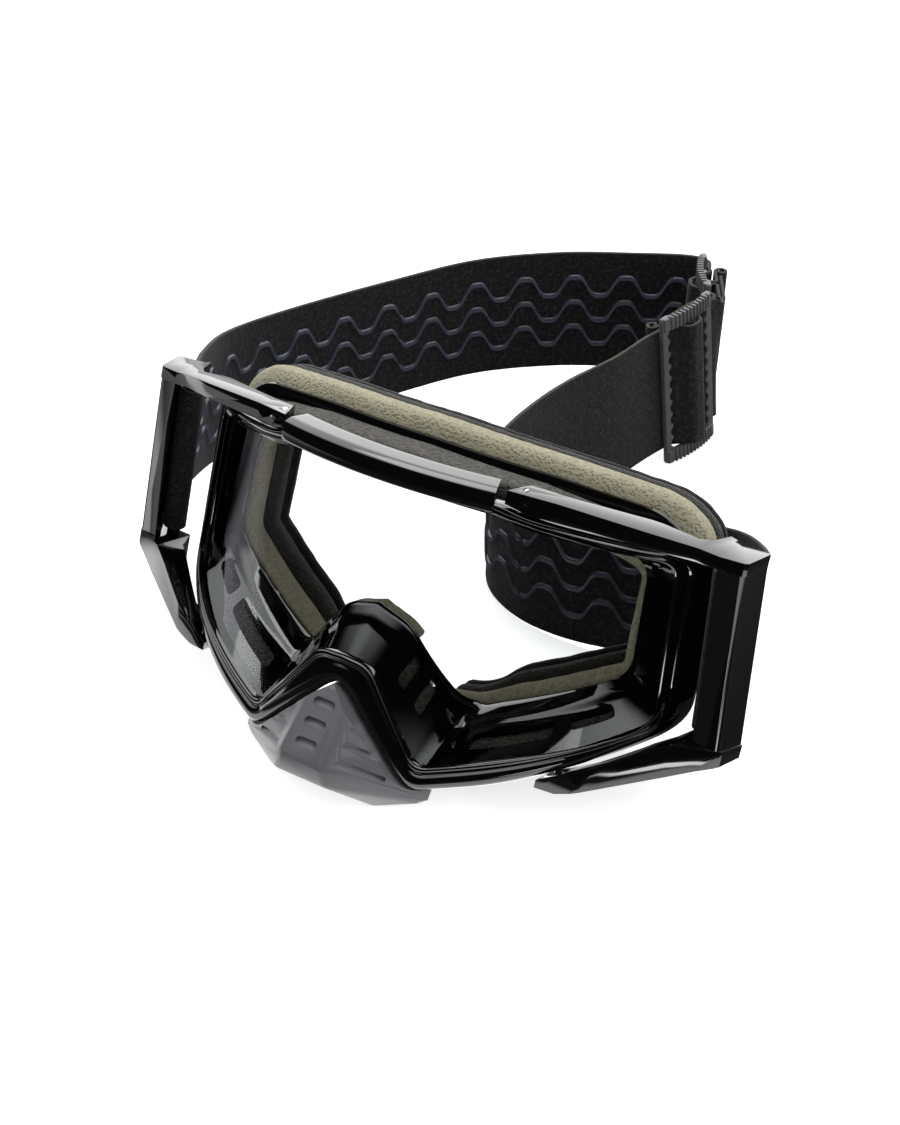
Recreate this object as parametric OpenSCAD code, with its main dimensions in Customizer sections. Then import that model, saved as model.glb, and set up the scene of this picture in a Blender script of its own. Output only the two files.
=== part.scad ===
// Off-road goggles: clear lens in a gloss frame, outriggers, face foam, nose guard and elastic strap.
// The frame's own axes are X to the wearer's side, Y back to the face and Z up. They lean back by
// `lean` where the goggles rest on the ground, and the strap lies folded behind them.

/* [Posture] */
// Angle that the goggles lean back at rest, in degrees
lean = 19.3; // [15:0.1:24]

/* [Lens] */
// Radius of the lens curve about its upright axis
lens_r = 92; // [88:1:100]
// Thickness of the lens sheet
lens_t = 0.9; // [0.6:0.1:1.4]
// Width of lens edge held all round behind the aperture
lens_lap = 2; // [1:0.1:2.4]
// Gap on each side of the lens in its groove
lens_gap = 0.15; // [0.1:0.05:0.3]

/* [Front frame] */
// Depth of the front frame's face ahead of the lens, along Y
face_t = 3.3; // [2.4:0.1:4.5]
// Wall thickness of the frame's skirt
skirt_t = 2; // [1.4:0.1:2.6]
// Depth of the skirt behind the face
skirt_depth = 8.5; // [6:0.5:10]
// Half length of the top bar between the outriggers
bar_half = 32; // [28:0.5:33]
// Distance the top bar stands ahead of the face
bar_proud = 2; // [1:0.1:3]

/* [Face frame] */
// Radius of the curve that fits the face
face_r = 170; // [150:5:220]
// Depth from the frame's origin to the front of the face flange
flange_y = 26.5; // [25:0.5:30]
// Thickness of the face flange
flange_t = 2; // [1.5:0.1:3]
// Wall thickness of the throat between lens and flange
throat_t = 1.8; // [1.2:0.1:2.4]
// Gap between the skirt and the throat inside it
throat_gap = 0.6; // [0.4:0.1:1]

/* [Foam] */
// Thickness of the firm foam layer on the flange
base_foam_t = 8; // [5:0.5:10]
// Thickness of the soft foam layer behind it
mid_foam_t = 6; // [4:0.5:8]
// Thickness of the fleece that touches the face
fleece_t = 3; // [2:0.5:4]
// Gap left behind the flange, and round the foam in its seats
seat_gap = 0.3; // [0.2:0.05:0.4]
// Gap left between bonded layers
bond_gap = 0.1; // [0.05:0.05:0.3]
// Thickness of the vent foam
vent_foam_t = 2.6; // [1.5:0.1:3]

/* [Outriggers] */
// Forward lean of the outriggers' posts against the frame, in degrees
post_tip = 7.8; // [6:0.1:9]
// Inward lean of the posts, in degrees
post_splay = 3.9; // [3:0.1:5]
// Radius of the strap bars
strap_bar_r = 2; // [1.5:0.1:2.4]
// Thickness of the posts' plates
plate_t = 2.6; // [2:0.1:3]
// Gap between the outriggers and the front frame
outrigger_gap = 0.8; // [0.6:0.1:1.2]
// Radius of the hinge pins
pin_r = 1; // [0.8:0.1:1.3]
// Running clearance of the pins in the outriggers
pin_play = 0.05; // [0.02:0.01:0.08]

/* [Nose guard] */
// Wall thickness of the nose guard
guard_t = 1.8; // [1.2:0.1:2.5]
// Gap between the nose guard and the frame above it
guard_gap = 0.4; // [0.3:0.1:0.8]

/* [Strap] */
// Width of the elastic strap
strap_w = 45; // [40:1:50]
// Thickness of the elastic strap
strap_t = 1.6; // [1.2:0.1:2]
// Gap between the strap and what it passes
strap_gap = 0.3; // [0.2:0.05:0.5]
// Length of one wave of the grip beads
bead_wave = 18; // [14:1:24]
// Swing of a grip bead to either side
bead_swing = 4; // [2:0.5:4.5]
// Spacing of the grip beads across the strap
bead_pitch = 9.6; // [8:0.2:11]
// Width of a grip bead
bead_w = 1.6; // [0.8:0.1:2]

/* [Adjusters] */
// Height of an adjuster, across the strap
slide_h = 55; // [52:1:60]
// Length of an adjuster, along the strap
slide_l = 24.4; // [22:0.2:28]
// Width of an adjuster's outer bars
slide_bar_w = 3.6; // [3:0.1:4.5]
// Thickness of an adjuster
slide_t = 2; // [1.6:0.1:3]
// Radius of an adjuster's middle bar
slide_pin_r = 1.1; // [0.9:0.1:1.4]
// Rise of an adjuster's arched ends
slide_arch = 1.8; // [1.2:0.1:2.4]

/* [Hidden] */
$fn = 96;

// Middle of the ground that the whole model covers
origin = [-9.356, 106.439];

// Half outlines in the frame's X and Z from the top middle round to the bottom middle. The third
// value is how far before and after a corner its rounding starts.
aperture = [[0, 38.8, 0], [26, 38.2, 12], [50, 34.4, 14], [71.6, 31.6, 4], [75, -14.2, 6],
    [58, -23.6, 12], [25.4, -36, 7], [8, -11.9, 4], [0, -11.4, 0]];
front_outer = [[0, 41.6, 0], [33.5, 40.4, 2], [39, 38.6, 3], [60, 36.8, 12], [79.6, 34.8, 5],
    [81, -14, 7], [67, -24, 10], [47, -35, 8], [26, -42.6, 4], [21.4, -40, 2],
    [3.6, -21.6, 3], [0, -19.2, 0]];
foam_outer = [[0, 47.4, 0], [40, 46.2, 14], [64, 43.6, 9], [73, 36, 7], [74, -6, 9],
    [64, -21, 8], [44, -32.3, 8], [27, -35.5, 5], [0, -35.5, 0]];
// The flange's edge and its inner rim at the face, corner for corner with front_outer
flange_outer = [[0, 47.4, 0], [33, 46.6, 2], [40, 45.9, 6], [64, 43.4, 9], [73, 36, 7], [74, -6, 9],
    [64, -21, 8], [44, -32.3, 8], [28.5, -34.5, 3], [23, -30, 3], [8, -6.5, 3], [0, -3.4, 0]];
face_opening = [[0, 36, 0], [33, 35, 2], [38, 34.4, 3], [50, 32.6, 10], [62.5, 27.5, 5],
    [64.5, -3.5, 6], [56.5, -9.4, 6], [43.5, -16.4, 6], [28, -24, 3], [24, -21.5, 3],
    [9.6, -2.6, 4], [0, 0.6, 0]];

// Frame depths of the lens curve, at the middle plane
lens_y = 1;
face_y = lens_y - lens_gap - face_t;
throat_y = lens_y + lens_t + lens_gap;
foam_y = flange_y + flange_t + seat_gap;
mid_y = foam_y + base_foam_t + bond_gap;
fleece_y = mid_y + mid_foam_t + bond_gap;

// The guard's lip, in the frame's X, Y and Z, is what the goggles stand on in front
guard_lip = [17, 1, -50.6];
foot = guard_lip[1] * sin(lean) - guard_lip[2] * cos(lean);

function unit(v) = v / norm(v);
function flat(p) = [p[0], p[1]];
function mirrored(half) = concat(half,
    [for (i = [len(half) - 1:-1:0]) if (half[i][0] > 0.01) [-half[i][0], half[i][1], half[i][2]]]);
// Moves every side of a clockwise outline inwards by d
function inset(c, d) = [for (i = [0:len(c) - 1]) let (
    n = len(c),
    a = unit(flat(c[i]) - flat(c[(i + n - 1) % n])),
    b = unit(flat(c[(i + 1) % n]) - flat(c[i])),
    na = [a[1], -a[0]],
    nb = [b[1], -b[0]],
    m = (na + nb) / (1 + na * nb) * d) [c[i][0] + m[0], c[i][1] + m[1], c[i][2]]];
// Rounds each corner by a curve that starts and ends its third value away from it
function rounded(c, steps = 5) = [for (i = [0:len(c) - 1]) let (
    n = len(c),
    p = flat(c[i]),
    before = flat(c[(i + n - 1) % n]) - p,
    after = flat(c[(i + 1) % n]) - p,
    cut = min(c[i][2], 0.48 * norm(before), 0.48 * norm(after)))
    for (k = [0:cut > 0 ? steps : 0]) let (t = k / steps)
        cut > 0 ? (1 - t) * (1 - t) * (p + unit(before) * cut) + 2 * t * (1 - t) * p
            + t * t * (p + unit(after) * cut) : p];

// Solid between an outline's walls, from y0 to y1
module prism(c, y0 = -30, y1 = 80) {
    translate([0, y1, 0])
        rotate([90, 0, 0])
            linear_extrude(y1 - y0)
                polygon(rounded(c));
}
module ring(outer, inner) {
    difference() {
        prism(outer);
        prism(inner, -31, 81);
    }
}
// Everything behind a curved face whose middle is at y
module behind(y, r) {
    translate([0, y + r, -90])
        cylinder(r = r, h = 180);
}
module lens_slab(y0, y1) {
    difference() {
        behind(y0, lens_r);
        behind(y1, lens_r);
    }
}
module face_slab(y0, y1) {
    difference() {
        behind(y0, face_r);
        behind(y1, face_r);
    }
}
// Stands the frame in its resting posture
module posed() {
    translate([-origin[0], -origin[1], foot])
        rotate([-lean, 0, 0])
            children();
}
module ground_cut() {
    difference() {
        children();
        translate([-200, -200, -100])
            cube([400, 500, 100]);
    }
}
module both_sides() {
    children();
    mirror([1, 0, 0])
        children();
}

// Hinge axis of the right outrigger, from its upper to its lower pin
hinge_top = [37.2, 8.6, 43];
hinge_low = [58.5, 21.5, -31.3];
hinge_dir = unit(hinge_low - hinge_top);
// Lays a child's Z along the hinge axis, starting at a point
module along_hinge(p) {
    translate(p)
        rotate([0, acos(hinge_dir[2]), atan2(hinge_dir[1], hinge_dir[0])])
            children();
}
ear_r = 2.6;
ear_h = 3.6;
// Each pin runs from inside the outrigger's arm into the ear on the frame
pin_in = 1.9;
pin_out = 4;
module hinge_rods(r, more = 0) {
    along_hinge(hinge_top - hinge_dir * (pin_in + more))
        cylinder(r = r, h = pin_in + pin_out + more);
    along_hinge(hinge_low - hinge_dir * pin_out)
        cylinder(r = r, h = pin_in + pin_out + more);
}

// Front frame

bar_section = [[lens_r - 9, 39.4], [lens_r + 2, 38], [lens_r + face_t + bar_proud, 38.6],
    [lens_r + face_t + bar_proud + 0.5, 41], [lens_r + face_t + bar_proud, 43.8],
    [lens_r + face_t, 45.2], [lens_r - 9, 47.4]];
module top_bar() {
    intersection() {
        translate([0, lens_y + lens_r, 0])
            rotate_extrude()
                polygon(bar_section);
        translate([-bar_half, -20, 30])
            cube([2 * bar_half, 60, 30]);
    }
}
module frame_ears() {
    along_hinge(hinge_top + hinge_dir * 1.1)
        cylinder(r = ear_r, h = ear_h);
    along_hinge(hinge_low - hinge_dir * (ear_h + 1.1))
        cylinder(r = ear_r, h = ear_h);
}
// Room inside the frame for the lens's edge, the throat, the flange and the top vent foam
module inner_room() {
    intersection() {
        lens_slab(lens_y - lens_gap, lens_y + lens_t + lens_gap);
        prism(inset(mirrored(aperture), -lens_lap - lens_gap));
    }
    intersection() {
        behind(lens_y - lens_gap, lens_r);
        prism(inset(mirrored(front_outer), skirt_t));
    }
    behind(flange_y - throat_gap, face_r);
    intersection() {
        behind(skirt_depth + 0.5, top_skirt_r);
        translate([-95, -20, 25])
            cube([190, 120, 17.2]);
    }
}
top_skirt_r = 105;
module front_frame_solid() {
    difference() {
        union() {
            intersection() {
                lens_slab(face_y, lens_y - lens_gap);
                ring(mirrored(front_outer), mirrored(aperture));
            }
            intersection() {
                lens_slab(face_y + 1, face_y + face_t + skirt_depth);
                ring(mirrored(front_outer), inset(mirrored(front_outer), skirt_t));
            }
            top_bar();
            both_sides()
                frame_ears();
        }
        both_sides()
            hinge_rods(pin_r);
        inner_room();
    }
}
module front_frame() {
    color("#0b0b0c")
        posed()
            front_frame_solid();
}

// Face frame

nose_half = 24;
nose_y = 13;
nose_r = 30;
// The throat's wall at station s round it, share t of the way from the lens to the face, and
// distance d outwards from its inside
front_inside = rounded(inset(mirrored(front_outer), skirt_t + throat_gap + throat_t), 3);
front_outside = rounded(inset(mirrored(front_outer), skirt_t + throat_gap), 3);
rear_inside = rounded(mirrored(face_opening), 3);
rear_outside = rounded(inset(mirrored(face_opening), -throat_t), 3);
stations = len(front_inside);
// Point at station s of a closed outline, between its listed points
function along(list, s) = let (n = len(list), i = floor(s), k = s - i)
    list[i % n] * (1 - k) + (k > 0 ? list[(i + 1) % n] * k : [0, 0]);
function curve_y(r, x) = r - sqrt(r * r - x * x);
function front_point(s, d) = let (
    q = along(front_inside, s) + (along(front_outside, s) - along(front_inside, s)) * d / throat_t)
    [q[0], throat_y + curve_y(lens_r, q[0]), q[1]];
function rear_y(q) = let (y = flange_y + flange_t / 2 + curve_y(face_r, q[0]))
    abs(q[0]) < nose_half + 3 && q[1] < 10 ? min(y, nose_y + curve_y(nose_r, q[0])) : y;
function rear_point(s, d) = let (
    q = along(rear_inside, s) + (along(rear_outside, s) - along(rear_inside, s)) * d / throat_t)
    [q[0], rear_y(along(rear_inside, s)), q[1]];
function wall(s, t, d) = front_point(s, d) * (1 - t) + rear_point(s, d) * t;
function wall_ring(s, t0, t1, d0, d1) = [wall(s, t0, d1), wall(s, t1, d1), wall(s, t1, d0), wall(s, t0, d0)];
// Stations with long straight stretches divided, so that the wall follows the curved faces
station_gap = 9;
fine_stations = [for (i = [0:stations - 1]) let (
    n = ceil(norm(front_inside[(i + 1) % stations] - front_inside[i]) / station_gap))
    for (k = [0:n - 1]) i + k / n];
// A closed skin round rings of equal counts, joined end to end or capped
module skin(rings, joined = false) {
    n = len(rings);
    m = len(rings[0]);
    points = [for (r = rings, q = r) q];
    sides = [for (i = [0:joined ? n - 1 : n - 2], j = [0:m - 1], k = [0, 1]) let (
        a = i * m + j,
        b = i * m + (j + 1) % m,
        c = ((i + 1) % n) * m + (j + 1) % m,
        e = ((i + 1) % n) * m + j)
        k == 0 ? [a, b, c] : [a, c, e]];
    caps = joined ? [] : [[for (j = [m - 1:-1:0]) j], [for (j = [0:m - 1]) (n - 1) * m + j]];
    polyhedron(points, concat(sides, caps), convexity = 8);
}
flange_edge = rounded(mirrored(flange_outer), 3);
function edge_point(s, dy) = let (q = along(flange_edge, s), r = along(rear_inside, s))
    [q[0], rear_y(r) + curve_y(face_r, q[0]) - curve_y(face_r, r[0]) + dy, q[1]];
// The moulding's section at a station: throat wall and flange
function frame_ring(s) = [wall(s, 0, throat_t), wall(s, 1, throat_t) - [0, flange_t / 2, 0],
    edge_point(s, -flange_t / 2), edge_point(s, flange_t / 2), wall(s, 1, 0) + [0, flange_t / 2, 0],
    wall(s, 0, 0)];
// A slot through the throat's wall
module wall_slot(s0, s1, t0, t1) {
    hull()
        skin([for (k = [0:0.5:1]) wall_ring(s0 + (s1 - s0) * k, t0, t1, -1, throat_t + 1)]);
}
// Slots through the throat that the vent foam closes: stations, and shares of the depth
wall_slots = [[24.6, 28.6, 0.3, 0.56], [21.6, 24.2, 0.32, 0.6], [36.3, 36.8, 0.44, 0.84]];
function far_station(s) = stations - s;
module face_frame_solid() {
    difference() {
        skin([for (s = fine_stations) frame_ring(s)], true);
        for (c = wall_slots) {
            wall_slot(c[0], c[1], c[2], c[3]);
            wall_slot(far_station(c[1]), far_station(c[0]), c[2], c[3]);
        }
    }
}
module nose_space(half) {
    translate([-half, -40, -80])
        cube([2 * half, 140, 88]);
}
module face_frame() {
    color("#101012")
        posed()
            face_frame_solid();
}

// Lens

module lens() {
    color([0.75, 0.78, 0.8, 0.35])
        posed()
            intersection() {
                lens_slab(lens_y, lens_y + lens_t);
                prism(inset(mirrored(aperture), -lens_lap));
            }
}

// Outriggers

post_corner = [92, 26.9, 37.9];
post_h = 54.3;
// Plan of the upper arm, in the frame's X and Y
arm_plan = [[34, 3.8], [46, 9], [68.6, 17.2], [79.7, 23.4], [85.3, 25.3], [91.2, 26.7], [92, 27.6],
    [93.8, 37.6], [82.4, 38], [80.4, 31.4], [77.6, 28], [65.5, 24.4], [50, 17], [44, 14.4],
    [36.6, 12.6]];
// Upright outline of the upper arm, in the frame's X and Z
arm_front = [[33, 40.6], [33, 46.4], [46, 44.8], [68.6, 41.8], [85, 38.4], [96, 37.9], [96, 34.4],
    [86, 34.9], [68, 37.9], [46, 40.2]];
low_plan = [[54.5, 15.6], [66, 17.6], [84, 27.4], [94.8, 33.9], [95.8, 35], [97.6, 44.6],
    [84.4, 44.8], [82, 38.4], [76, 33.6], [66, 25.8], [55.4, 25.6]];
low_front = [[54, -34], [54, -29.2], [62, -26.8], [84, -13.4], [99, -12.8], [99, -16],
    [90.6, -19.6], [64, -32.6], [60, -34]];
arm_rise = 8;
module bar_prism(plan, front, rise, z) {
    intersection() {
        translate([0, 0, -70])
            linear_extrude(140)
                polygon(plan);
        translate([0, 16, z])
            rotate([90 + rise, 0, 0])
                translate([0, -z, -60])
                    linear_extrude(120)
                        polygon(front);
    }
}
// Stands a child at the post's upper outer corner, Z along the post
module at_post() {
    translate(post_corner)
        rotate([post_tip, -post_splay, 0])
            children();
}
// Place in the frame's axes of a point given in the post's own axes
function post_place(p) = let (
    y = p[1] * cos(post_tip) - p[2] * sin(post_tip),
    z = p[1] * sin(post_tip) + p[2] * cos(post_tip))
    post_corner + [p[0] * cos(post_splay) - z * sin(post_splay), y,
        p[0] * sin(post_splay) + z * cos(post_splay)];
post_plan = [[-7.2, -1.7], [-1.4, -0.3], [-0.4, 0.5], [1.7, 10.6], [1.7 - plate_t, 10.6],
    [-plate_t, plate_t], [-7.2, plate_t - 1.7]];
strap_bar = [-7.5, 6.9];
module outrigger_solid() {
    difference() {
        union() {
            bar_prism(arm_plan, arm_front, arm_rise, 42);
            bar_prism(low_plan, low_front, 0, -24);
            at_post() {
                translate([0, 0, -post_h])
                    linear_extrude(post_h - 1)
                        polygon(post_plan);
                translate([strap_bar[0], strap_bar[1], -post_h])
                    cylinder(r = strap_bar_r, h = post_h - 1);
            }
        }
        hinge_rods(pin_r + pin_play, 0.2);
        ear_pockets();
        prism(inset(mirrored(front_outer), -outrigger_gap));
    }
}
// Room for the frame's ears inside the arms' inner ends
module ear_pockets() {
    along_hinge(hinge_top + hinge_dir * 0.8)
        cylinder(r = ear_r + 0.6, h = 12);
    along_hinge(hinge_low - hinge_dir * 12.8)
        cylinder(r = ear_r + 0.6, h = 12);
}
module outrigger_right() {
    color("#0b0b0c")
        posed()
            outrigger_solid();
}
module outrigger_left() {
    color("#0b0b0c")
        posed()
            mirror([1, 0, 0])
                outrigger_solid();
}
module hinge_pins_right() {
    color("silver")
        posed()
            hinge_rods(pin_r);
}
module hinge_pins_left() {
    color("silver")
        posed()
            mirror([1, 0, 0])
                hinge_rods(pin_r);
}

// Nose guard

// Right-hand corners of the guard's facets, in the frame's X, Y and Z
guard_corners = [[5.4, -4.2, -20], [6.2, -15.2, -38.8], [8, -12.6, -44.6], guard_lip,
    [30, 6, -46], [30.5, 7, -40], [5, 4, -19], [17, 9, -46]];
guard_hollow = [[4, 0, -20], [4.6, -12.4, -37.6], [6.4, -10, -43.2], [15.6, 2, -52],
    [28, 8, -50], [28.4, 12, -38], [3.6, 12, -17], [15.6, 12, -52]];
module corner_hull(corners) {
    points = [for (s = [-1, 1], c = corners) [s * c[0], c[1], c[2]]];
    hull()
        for (p = points)
            translate(p)
                cube(0.02, center = true);
}
guard_slots = [-24.6, -29.6, -34.6];
module guard_slot_cuts() {
    for (z = guard_slots)
        translate([0, -20, z])
            rotate([-90, 0, 0])
                linear_extrude(40)
                    polygon([[-3, -0.8], [3, -0.8], [3, 0.8], [-3, 0.8]]);
}
module nose_guard_solid() {
    difference() {
        corner_hull(guard_corners);
        corner_hull(guard_hollow);
        prism(inset(mirrored(front_outer), -guard_gap));
        guard_slot_cuts();
    }
}
module nose_guard() {
    color("#3a3b3d")
        posed()
            nose_guard_solid();
}

// Face foam

module foam_layer(y0, t, edge, hole) {
    ground_cut()
        posed()
            difference() {
                intersection() {
                    face_slab(y0, y0 + t);
                    ring(inset(mirrored(foam_outer), edge), inset(mirrored(foam_opening), hole));
                }
                nose_space(foam_half);
            }
}
// The foam's ends stand this far from the middle, beside the nose
foam_half = 15;
foam_opening = [[0, 35.4, 0], [40, 33.6, 12], [62, 27, 6], [64, -4, 8], [29, -24.2, 6], [0, -25, 0]];
module face_foam_base() {
    color("#8d8a78")
        foam_layer(foam_y, base_foam_t, 0.5, 1.2);
}
module face_foam_mid() {
    color("#2c2c2c")
        foam_layer(mid_y, mid_foam_t, 0.3, 3);
}
module face_fleece() {
    color("#1c1c1d")
        foam_layer(fleece_y, fleece_t, 0, 4.2);
}

nose_foam_t = 4;
nose_seat = flange_t / 2 + seat_gap;
// Pad along the rear rim of the nose arch
module nose_foam() {
    color("#6c6a5e")
        posed()
            skin([for (s = [37:0.5:stations - 37]) let (
                q = wall(s, 1, 0),
                o = wall(s, 1, throat_t + 1.2))
                [o + [0, nose_seat, 0], o + [0, nose_seat + nose_foam_t, 0],
                    q + [0, nose_seat + nose_foam_t, 0], q + [0, nose_seat, 0]]]);
}

// Vent foam

// Strip of vent foam along the throat's wall, with the same stations as the wall
module vent_strip(s0, s1, t0, t1, gap) {
    color("#3b3b39")
        posed()
            skin([for (s = fine_stations) if (s >= s0 && s <= s1) wall_ring(s, t0, t1,
                throat_t + gap, throat_t + gap + vent_foam_t)]);
}
top_end = 10;
module top_vent_foam() {
    color("#3b3b39")
        posed()
            skin([for (side = [-1, 1], s = fine_stations)
                if (side < 0 ? s >= far_station(top_end) : s <= top_end) wall_ring(s, 0.3, 0.88,
                    throat_t + seat_gap, throat_t + seat_gap + vent_foam_t)]);
}
module corner_vent_foam_right() {
    vent_strip(11, 14, 0.34, 0.82, 3 * seat_gap);
}
module corner_vent_foam_left() {
    vent_strip(far_station(14), far_station(11), 0.34, 0.82, 3 * seat_gap);
}
module bottom_vent_foam_right() {
    vent_strip(21, 29, 0.24, 0.64, 2.4 * seat_gap);
}
module bottom_vent_foam_left() {
    vent_strip(far_station(29), far_station(21), 0.24, 0.64, 2.4 * seat_gap);
}
module nose_vent_foam_right() {
    vent_strip(36, 39, 0.34, 0.84, 1.8 * seat_gap);
}
module nose_vent_foam_left() {
    vent_strip(far_station(39), far_station(36), 0.34, 0.84, 1.8 * seat_gap);
}

// Strap

// Each adjuster's place on the ground, its heading along its band, how far it tips forward in
// its own plane and how far it leans over
back_rest = [-3.4, 222.6, -61, 0, 0];
front_rest = [8.5, 196.4, 76.2, 5.1, 4.9];
half_t = strap_t / 2;
middle_y = -0.8;
bulge_y = middle_y - slide_pin_r - 0.1 - strap_t - strap_gap - half_t;
run_y = slide_t / 2 + strap_gap + half_t;
tail_y = run_y + half_t + 1.5 * strap_gap + strap_t;
slide_z = slide_h / 2;
function rest_lift(a) = slide_l / 2 * sin(a[3]) + 3 * sin(a[4]);
// World place of a point in an adjuster's own axes
function at_adjuster(a, p) = let (
    y = p[1] * cos(a[4]) + p[2] * sin(a[4]),
    z = p[2] * cos(a[4]) - p[1] * sin(a[4]),
    u = p[0] * cos(a[3]) - z * sin(a[3]))
    [a[0] + u * cos(a[2]) - y * sin(a[2]), a[1] + u * sin(a[2]) + y * cos(a[2]),
        rest_lift(a) + p[0] * sin(a[3]) + z * cos(a[3])];
// World place of a point in the frame's own axes
function stood(p) = [p[0], p[1] * cos(lean) + p[2] * sin(lean), foot - p[1] * sin(lean) + p[2] * cos(lean)];

// A strap's points are [x, y, height of its middle, lean of its top towards +Y and towards +X],
// then 1 where its top leans on with its slope and 0 where an adjuster holds it
function free(list) = [for (p = list) concat(p, [1])];
strap_mid = -27;
end_len = 10;
left_dir = unit([0.6, 0.8]);
right_dir = unit([0.06, 1]);
post_up = stood(post_place([0, 0, 1])) - stood(post_corner);
function end_point(side, dir) = let (q = stood(post_place([strap_bar[0] + dir[0] * end_len,
    strap_bar[1] + dir[1] * end_len, strap_mid])))
    [side * q[0], q[1], q[2], atan2(post_up[1], post_up[2]), side * atan2(post_up[0], post_up[2]), 0];
// Where a band weaves through an adjuster: points along it and across it
weave = [[-11, run_y], [-8.8, run_y + 0.2], [-4.9, (run_y + bulge_y) / 2], [-2.4, bulge_y + 0.4],
    [0, bulge_y], [2.4, bulge_y + 0.4], [4.9, (run_y + bulge_y) / 2], [8.8, run_y + 0.2], [11, run_y]];
function on_adjuster(a, p) = let (q = at_adjuster(a, [p[0], p[1], slide_z]),
    u = at_adjuster(a, [0, 0, 1]) - at_adjuster(a, [0, 0, 0])) [q[0], q[1], q[2], asin(u[1]), asin(u[0]), 0];
function woven(a) = [for (p = weave) on_adjuster(a, p)];

left_route = concat([end_point(-1, left_dir)], free([[-107, 72, 37.6, 10, 3], [-115.2, 100, 30.5, 6, 1],
    [-109.6, 134, 26.5, 1, 0], [-94, 171, 25.4, 0, 0], [-78.4, 198, 25.6, 0, 0],
    [-57, 218, 26, 0, 0], [-34, 230.6, 26.8, 0, 0], [-18, 238.4, 27.2, 0, 0]]),
    [on_adjuster(back_rest, [-17, run_y])], woven(back_rest),
    [on_adjuster(back_rest, [13.4, run_y - 0.1]), on_adjuster(front_rest, [14, tail_y + 0.2]),
    on_adjuster(front_rest, [11.4, tail_y])]);
right_route = concat([end_point(1, right_dir)], free([[87.4, 61, 39.6, 13, -2], [81, 71, 36, 10, 0],
    [71.6, 78.6, 32.2, 6, 0], [58, 81.6, 28.6, 3, 0], [42, 79.6, 25.6, 1, 0], [24, 77.6, 24, 0, 0],
    [8, 79.4, 23.6, 0, 0], [-6, 87, 23.4, 0, 0], [-14, 99, 23.4, 0, 0], [-15.6, 112, 23.6, 0, 0],
    [-14.4, 128, 24, 0, -1], [-10.6, 144, 24.8, 0, -3], [-4.6, 162, 25.8, 0, -4]]),
    [on_adjuster(front_rest, [-18, run_y + 0.5])], woven(front_rest),
    [on_adjuster(front_rest, [15.6, run_y - 0.6]), on_adjuster(back_rest, [14.4, tail_y - 0.4]),
    on_adjuster(back_rest, [11.4, tail_y])]);

// A smooth curve through the points, each stretch divided into steps
function between(a, b, c, d, t) = 0.5 * ((2 * b) + (c - a) * t + (2 * a - 5 * b + 4 * c - d) * t * t
    + (3 * b - a - 3 * c + d) * t * t * t);
function smooth(p, steps) = let (n = len(p)) concat(
    [for (i = [0:n - 2], k = [0:steps - 1])
        between(p[max(i - 1, 0)], p[i], p[i + 1], p[min(i + 2, n - 1)], k / steps)], [p[n - 1]]);
function place(p) = [p[0], p[1], p[2]];
function heading(p, i) = unit(place(p[min(i + 1, len(p) - 1)]) - place(p[max(i - 1, 0)]));
function upward(p, i) = let (h = heading(p, i), u = [sin(p[i][4]), sin(p[i][3]), cos(p[i][3])])
    unit(u - (u * h) * p[i][5] * h);
function across(p, i) = unit(cross(upward(p, i), heading(p, i)));
// Point s to the strap's left side and r up from its middle line, at ring i
function on_strap(p, i, s, r) = place(p[i]) + across(p, i) * s + upward(p, i) * r;
function along_strap(p, f, s, r) = let (i = min(floor(f), len(p) - 2), k = f - i)
    on_strap(p, i, s, r) * (1 - k) + on_strap(p, i + 1, s, r) * k;
// Lengths along the middle line with the ring that each belongs to
function lengths(p) = [for (i = 0, s = 0; i < len(p);
    s = s + norm(place(p[min(i + 1, len(p) - 1)]) - place(p[i])), i = i + 1) [s, i]];
strap_steps = 3;
module on_ground() {
    translate([-origin[0], -origin[1], 0])
        children();
}
module band(route) {
    p = smooth(route, strap_steps);
    on_ground()
        skin([for (i = [0:len(p) - 1]) [
            on_strap(p, i, -half_t, -strap_w / 2), on_strap(p, i, -half_t, strap_w / 2),
            on_strap(p, i, half_t, strap_w / 2), on_strap(p, i, half_t, -strap_w / 2)]]);
}
// Wavy beads on one face of a band, between two lengths along it
module beads(route, face, first, last) {
    p = smooth(route, strap_steps);
    table = lengths(p);
    count = round((last - first) / bead_wave * 8);
    on_ground()
        for (row = [-1:1])
            skin([for (k = [0:count]) let (
                s = first + k * bead_wave / 8,
                f = lookup(s, table),
                r = row * bead_pitch + bead_swing * sin(360 * s / bead_wave))
                [along_strap(p, f, face * (half_t + bond_gap), r - face * bead_w / 2),
                along_strap(p, f, face * (half_t + bond_gap), r + face * bead_w / 2),
                along_strap(p, f, face * (half_t + bead_h), r)]]);
}
bead_h = 0.6;
module strap_left() {
    color("#19191a")
        band(left_route);
}
module strap_right() {
    color("#19191a")
        band(right_route);
}
module grip_beads_left() {
    color("#3a3a46")
        beads(left_route, -1, 16, 232);
}
module grip_beads_right() {
    color("#3a3a46")
        beads(right_route, 1, 16, 112);
}

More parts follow.
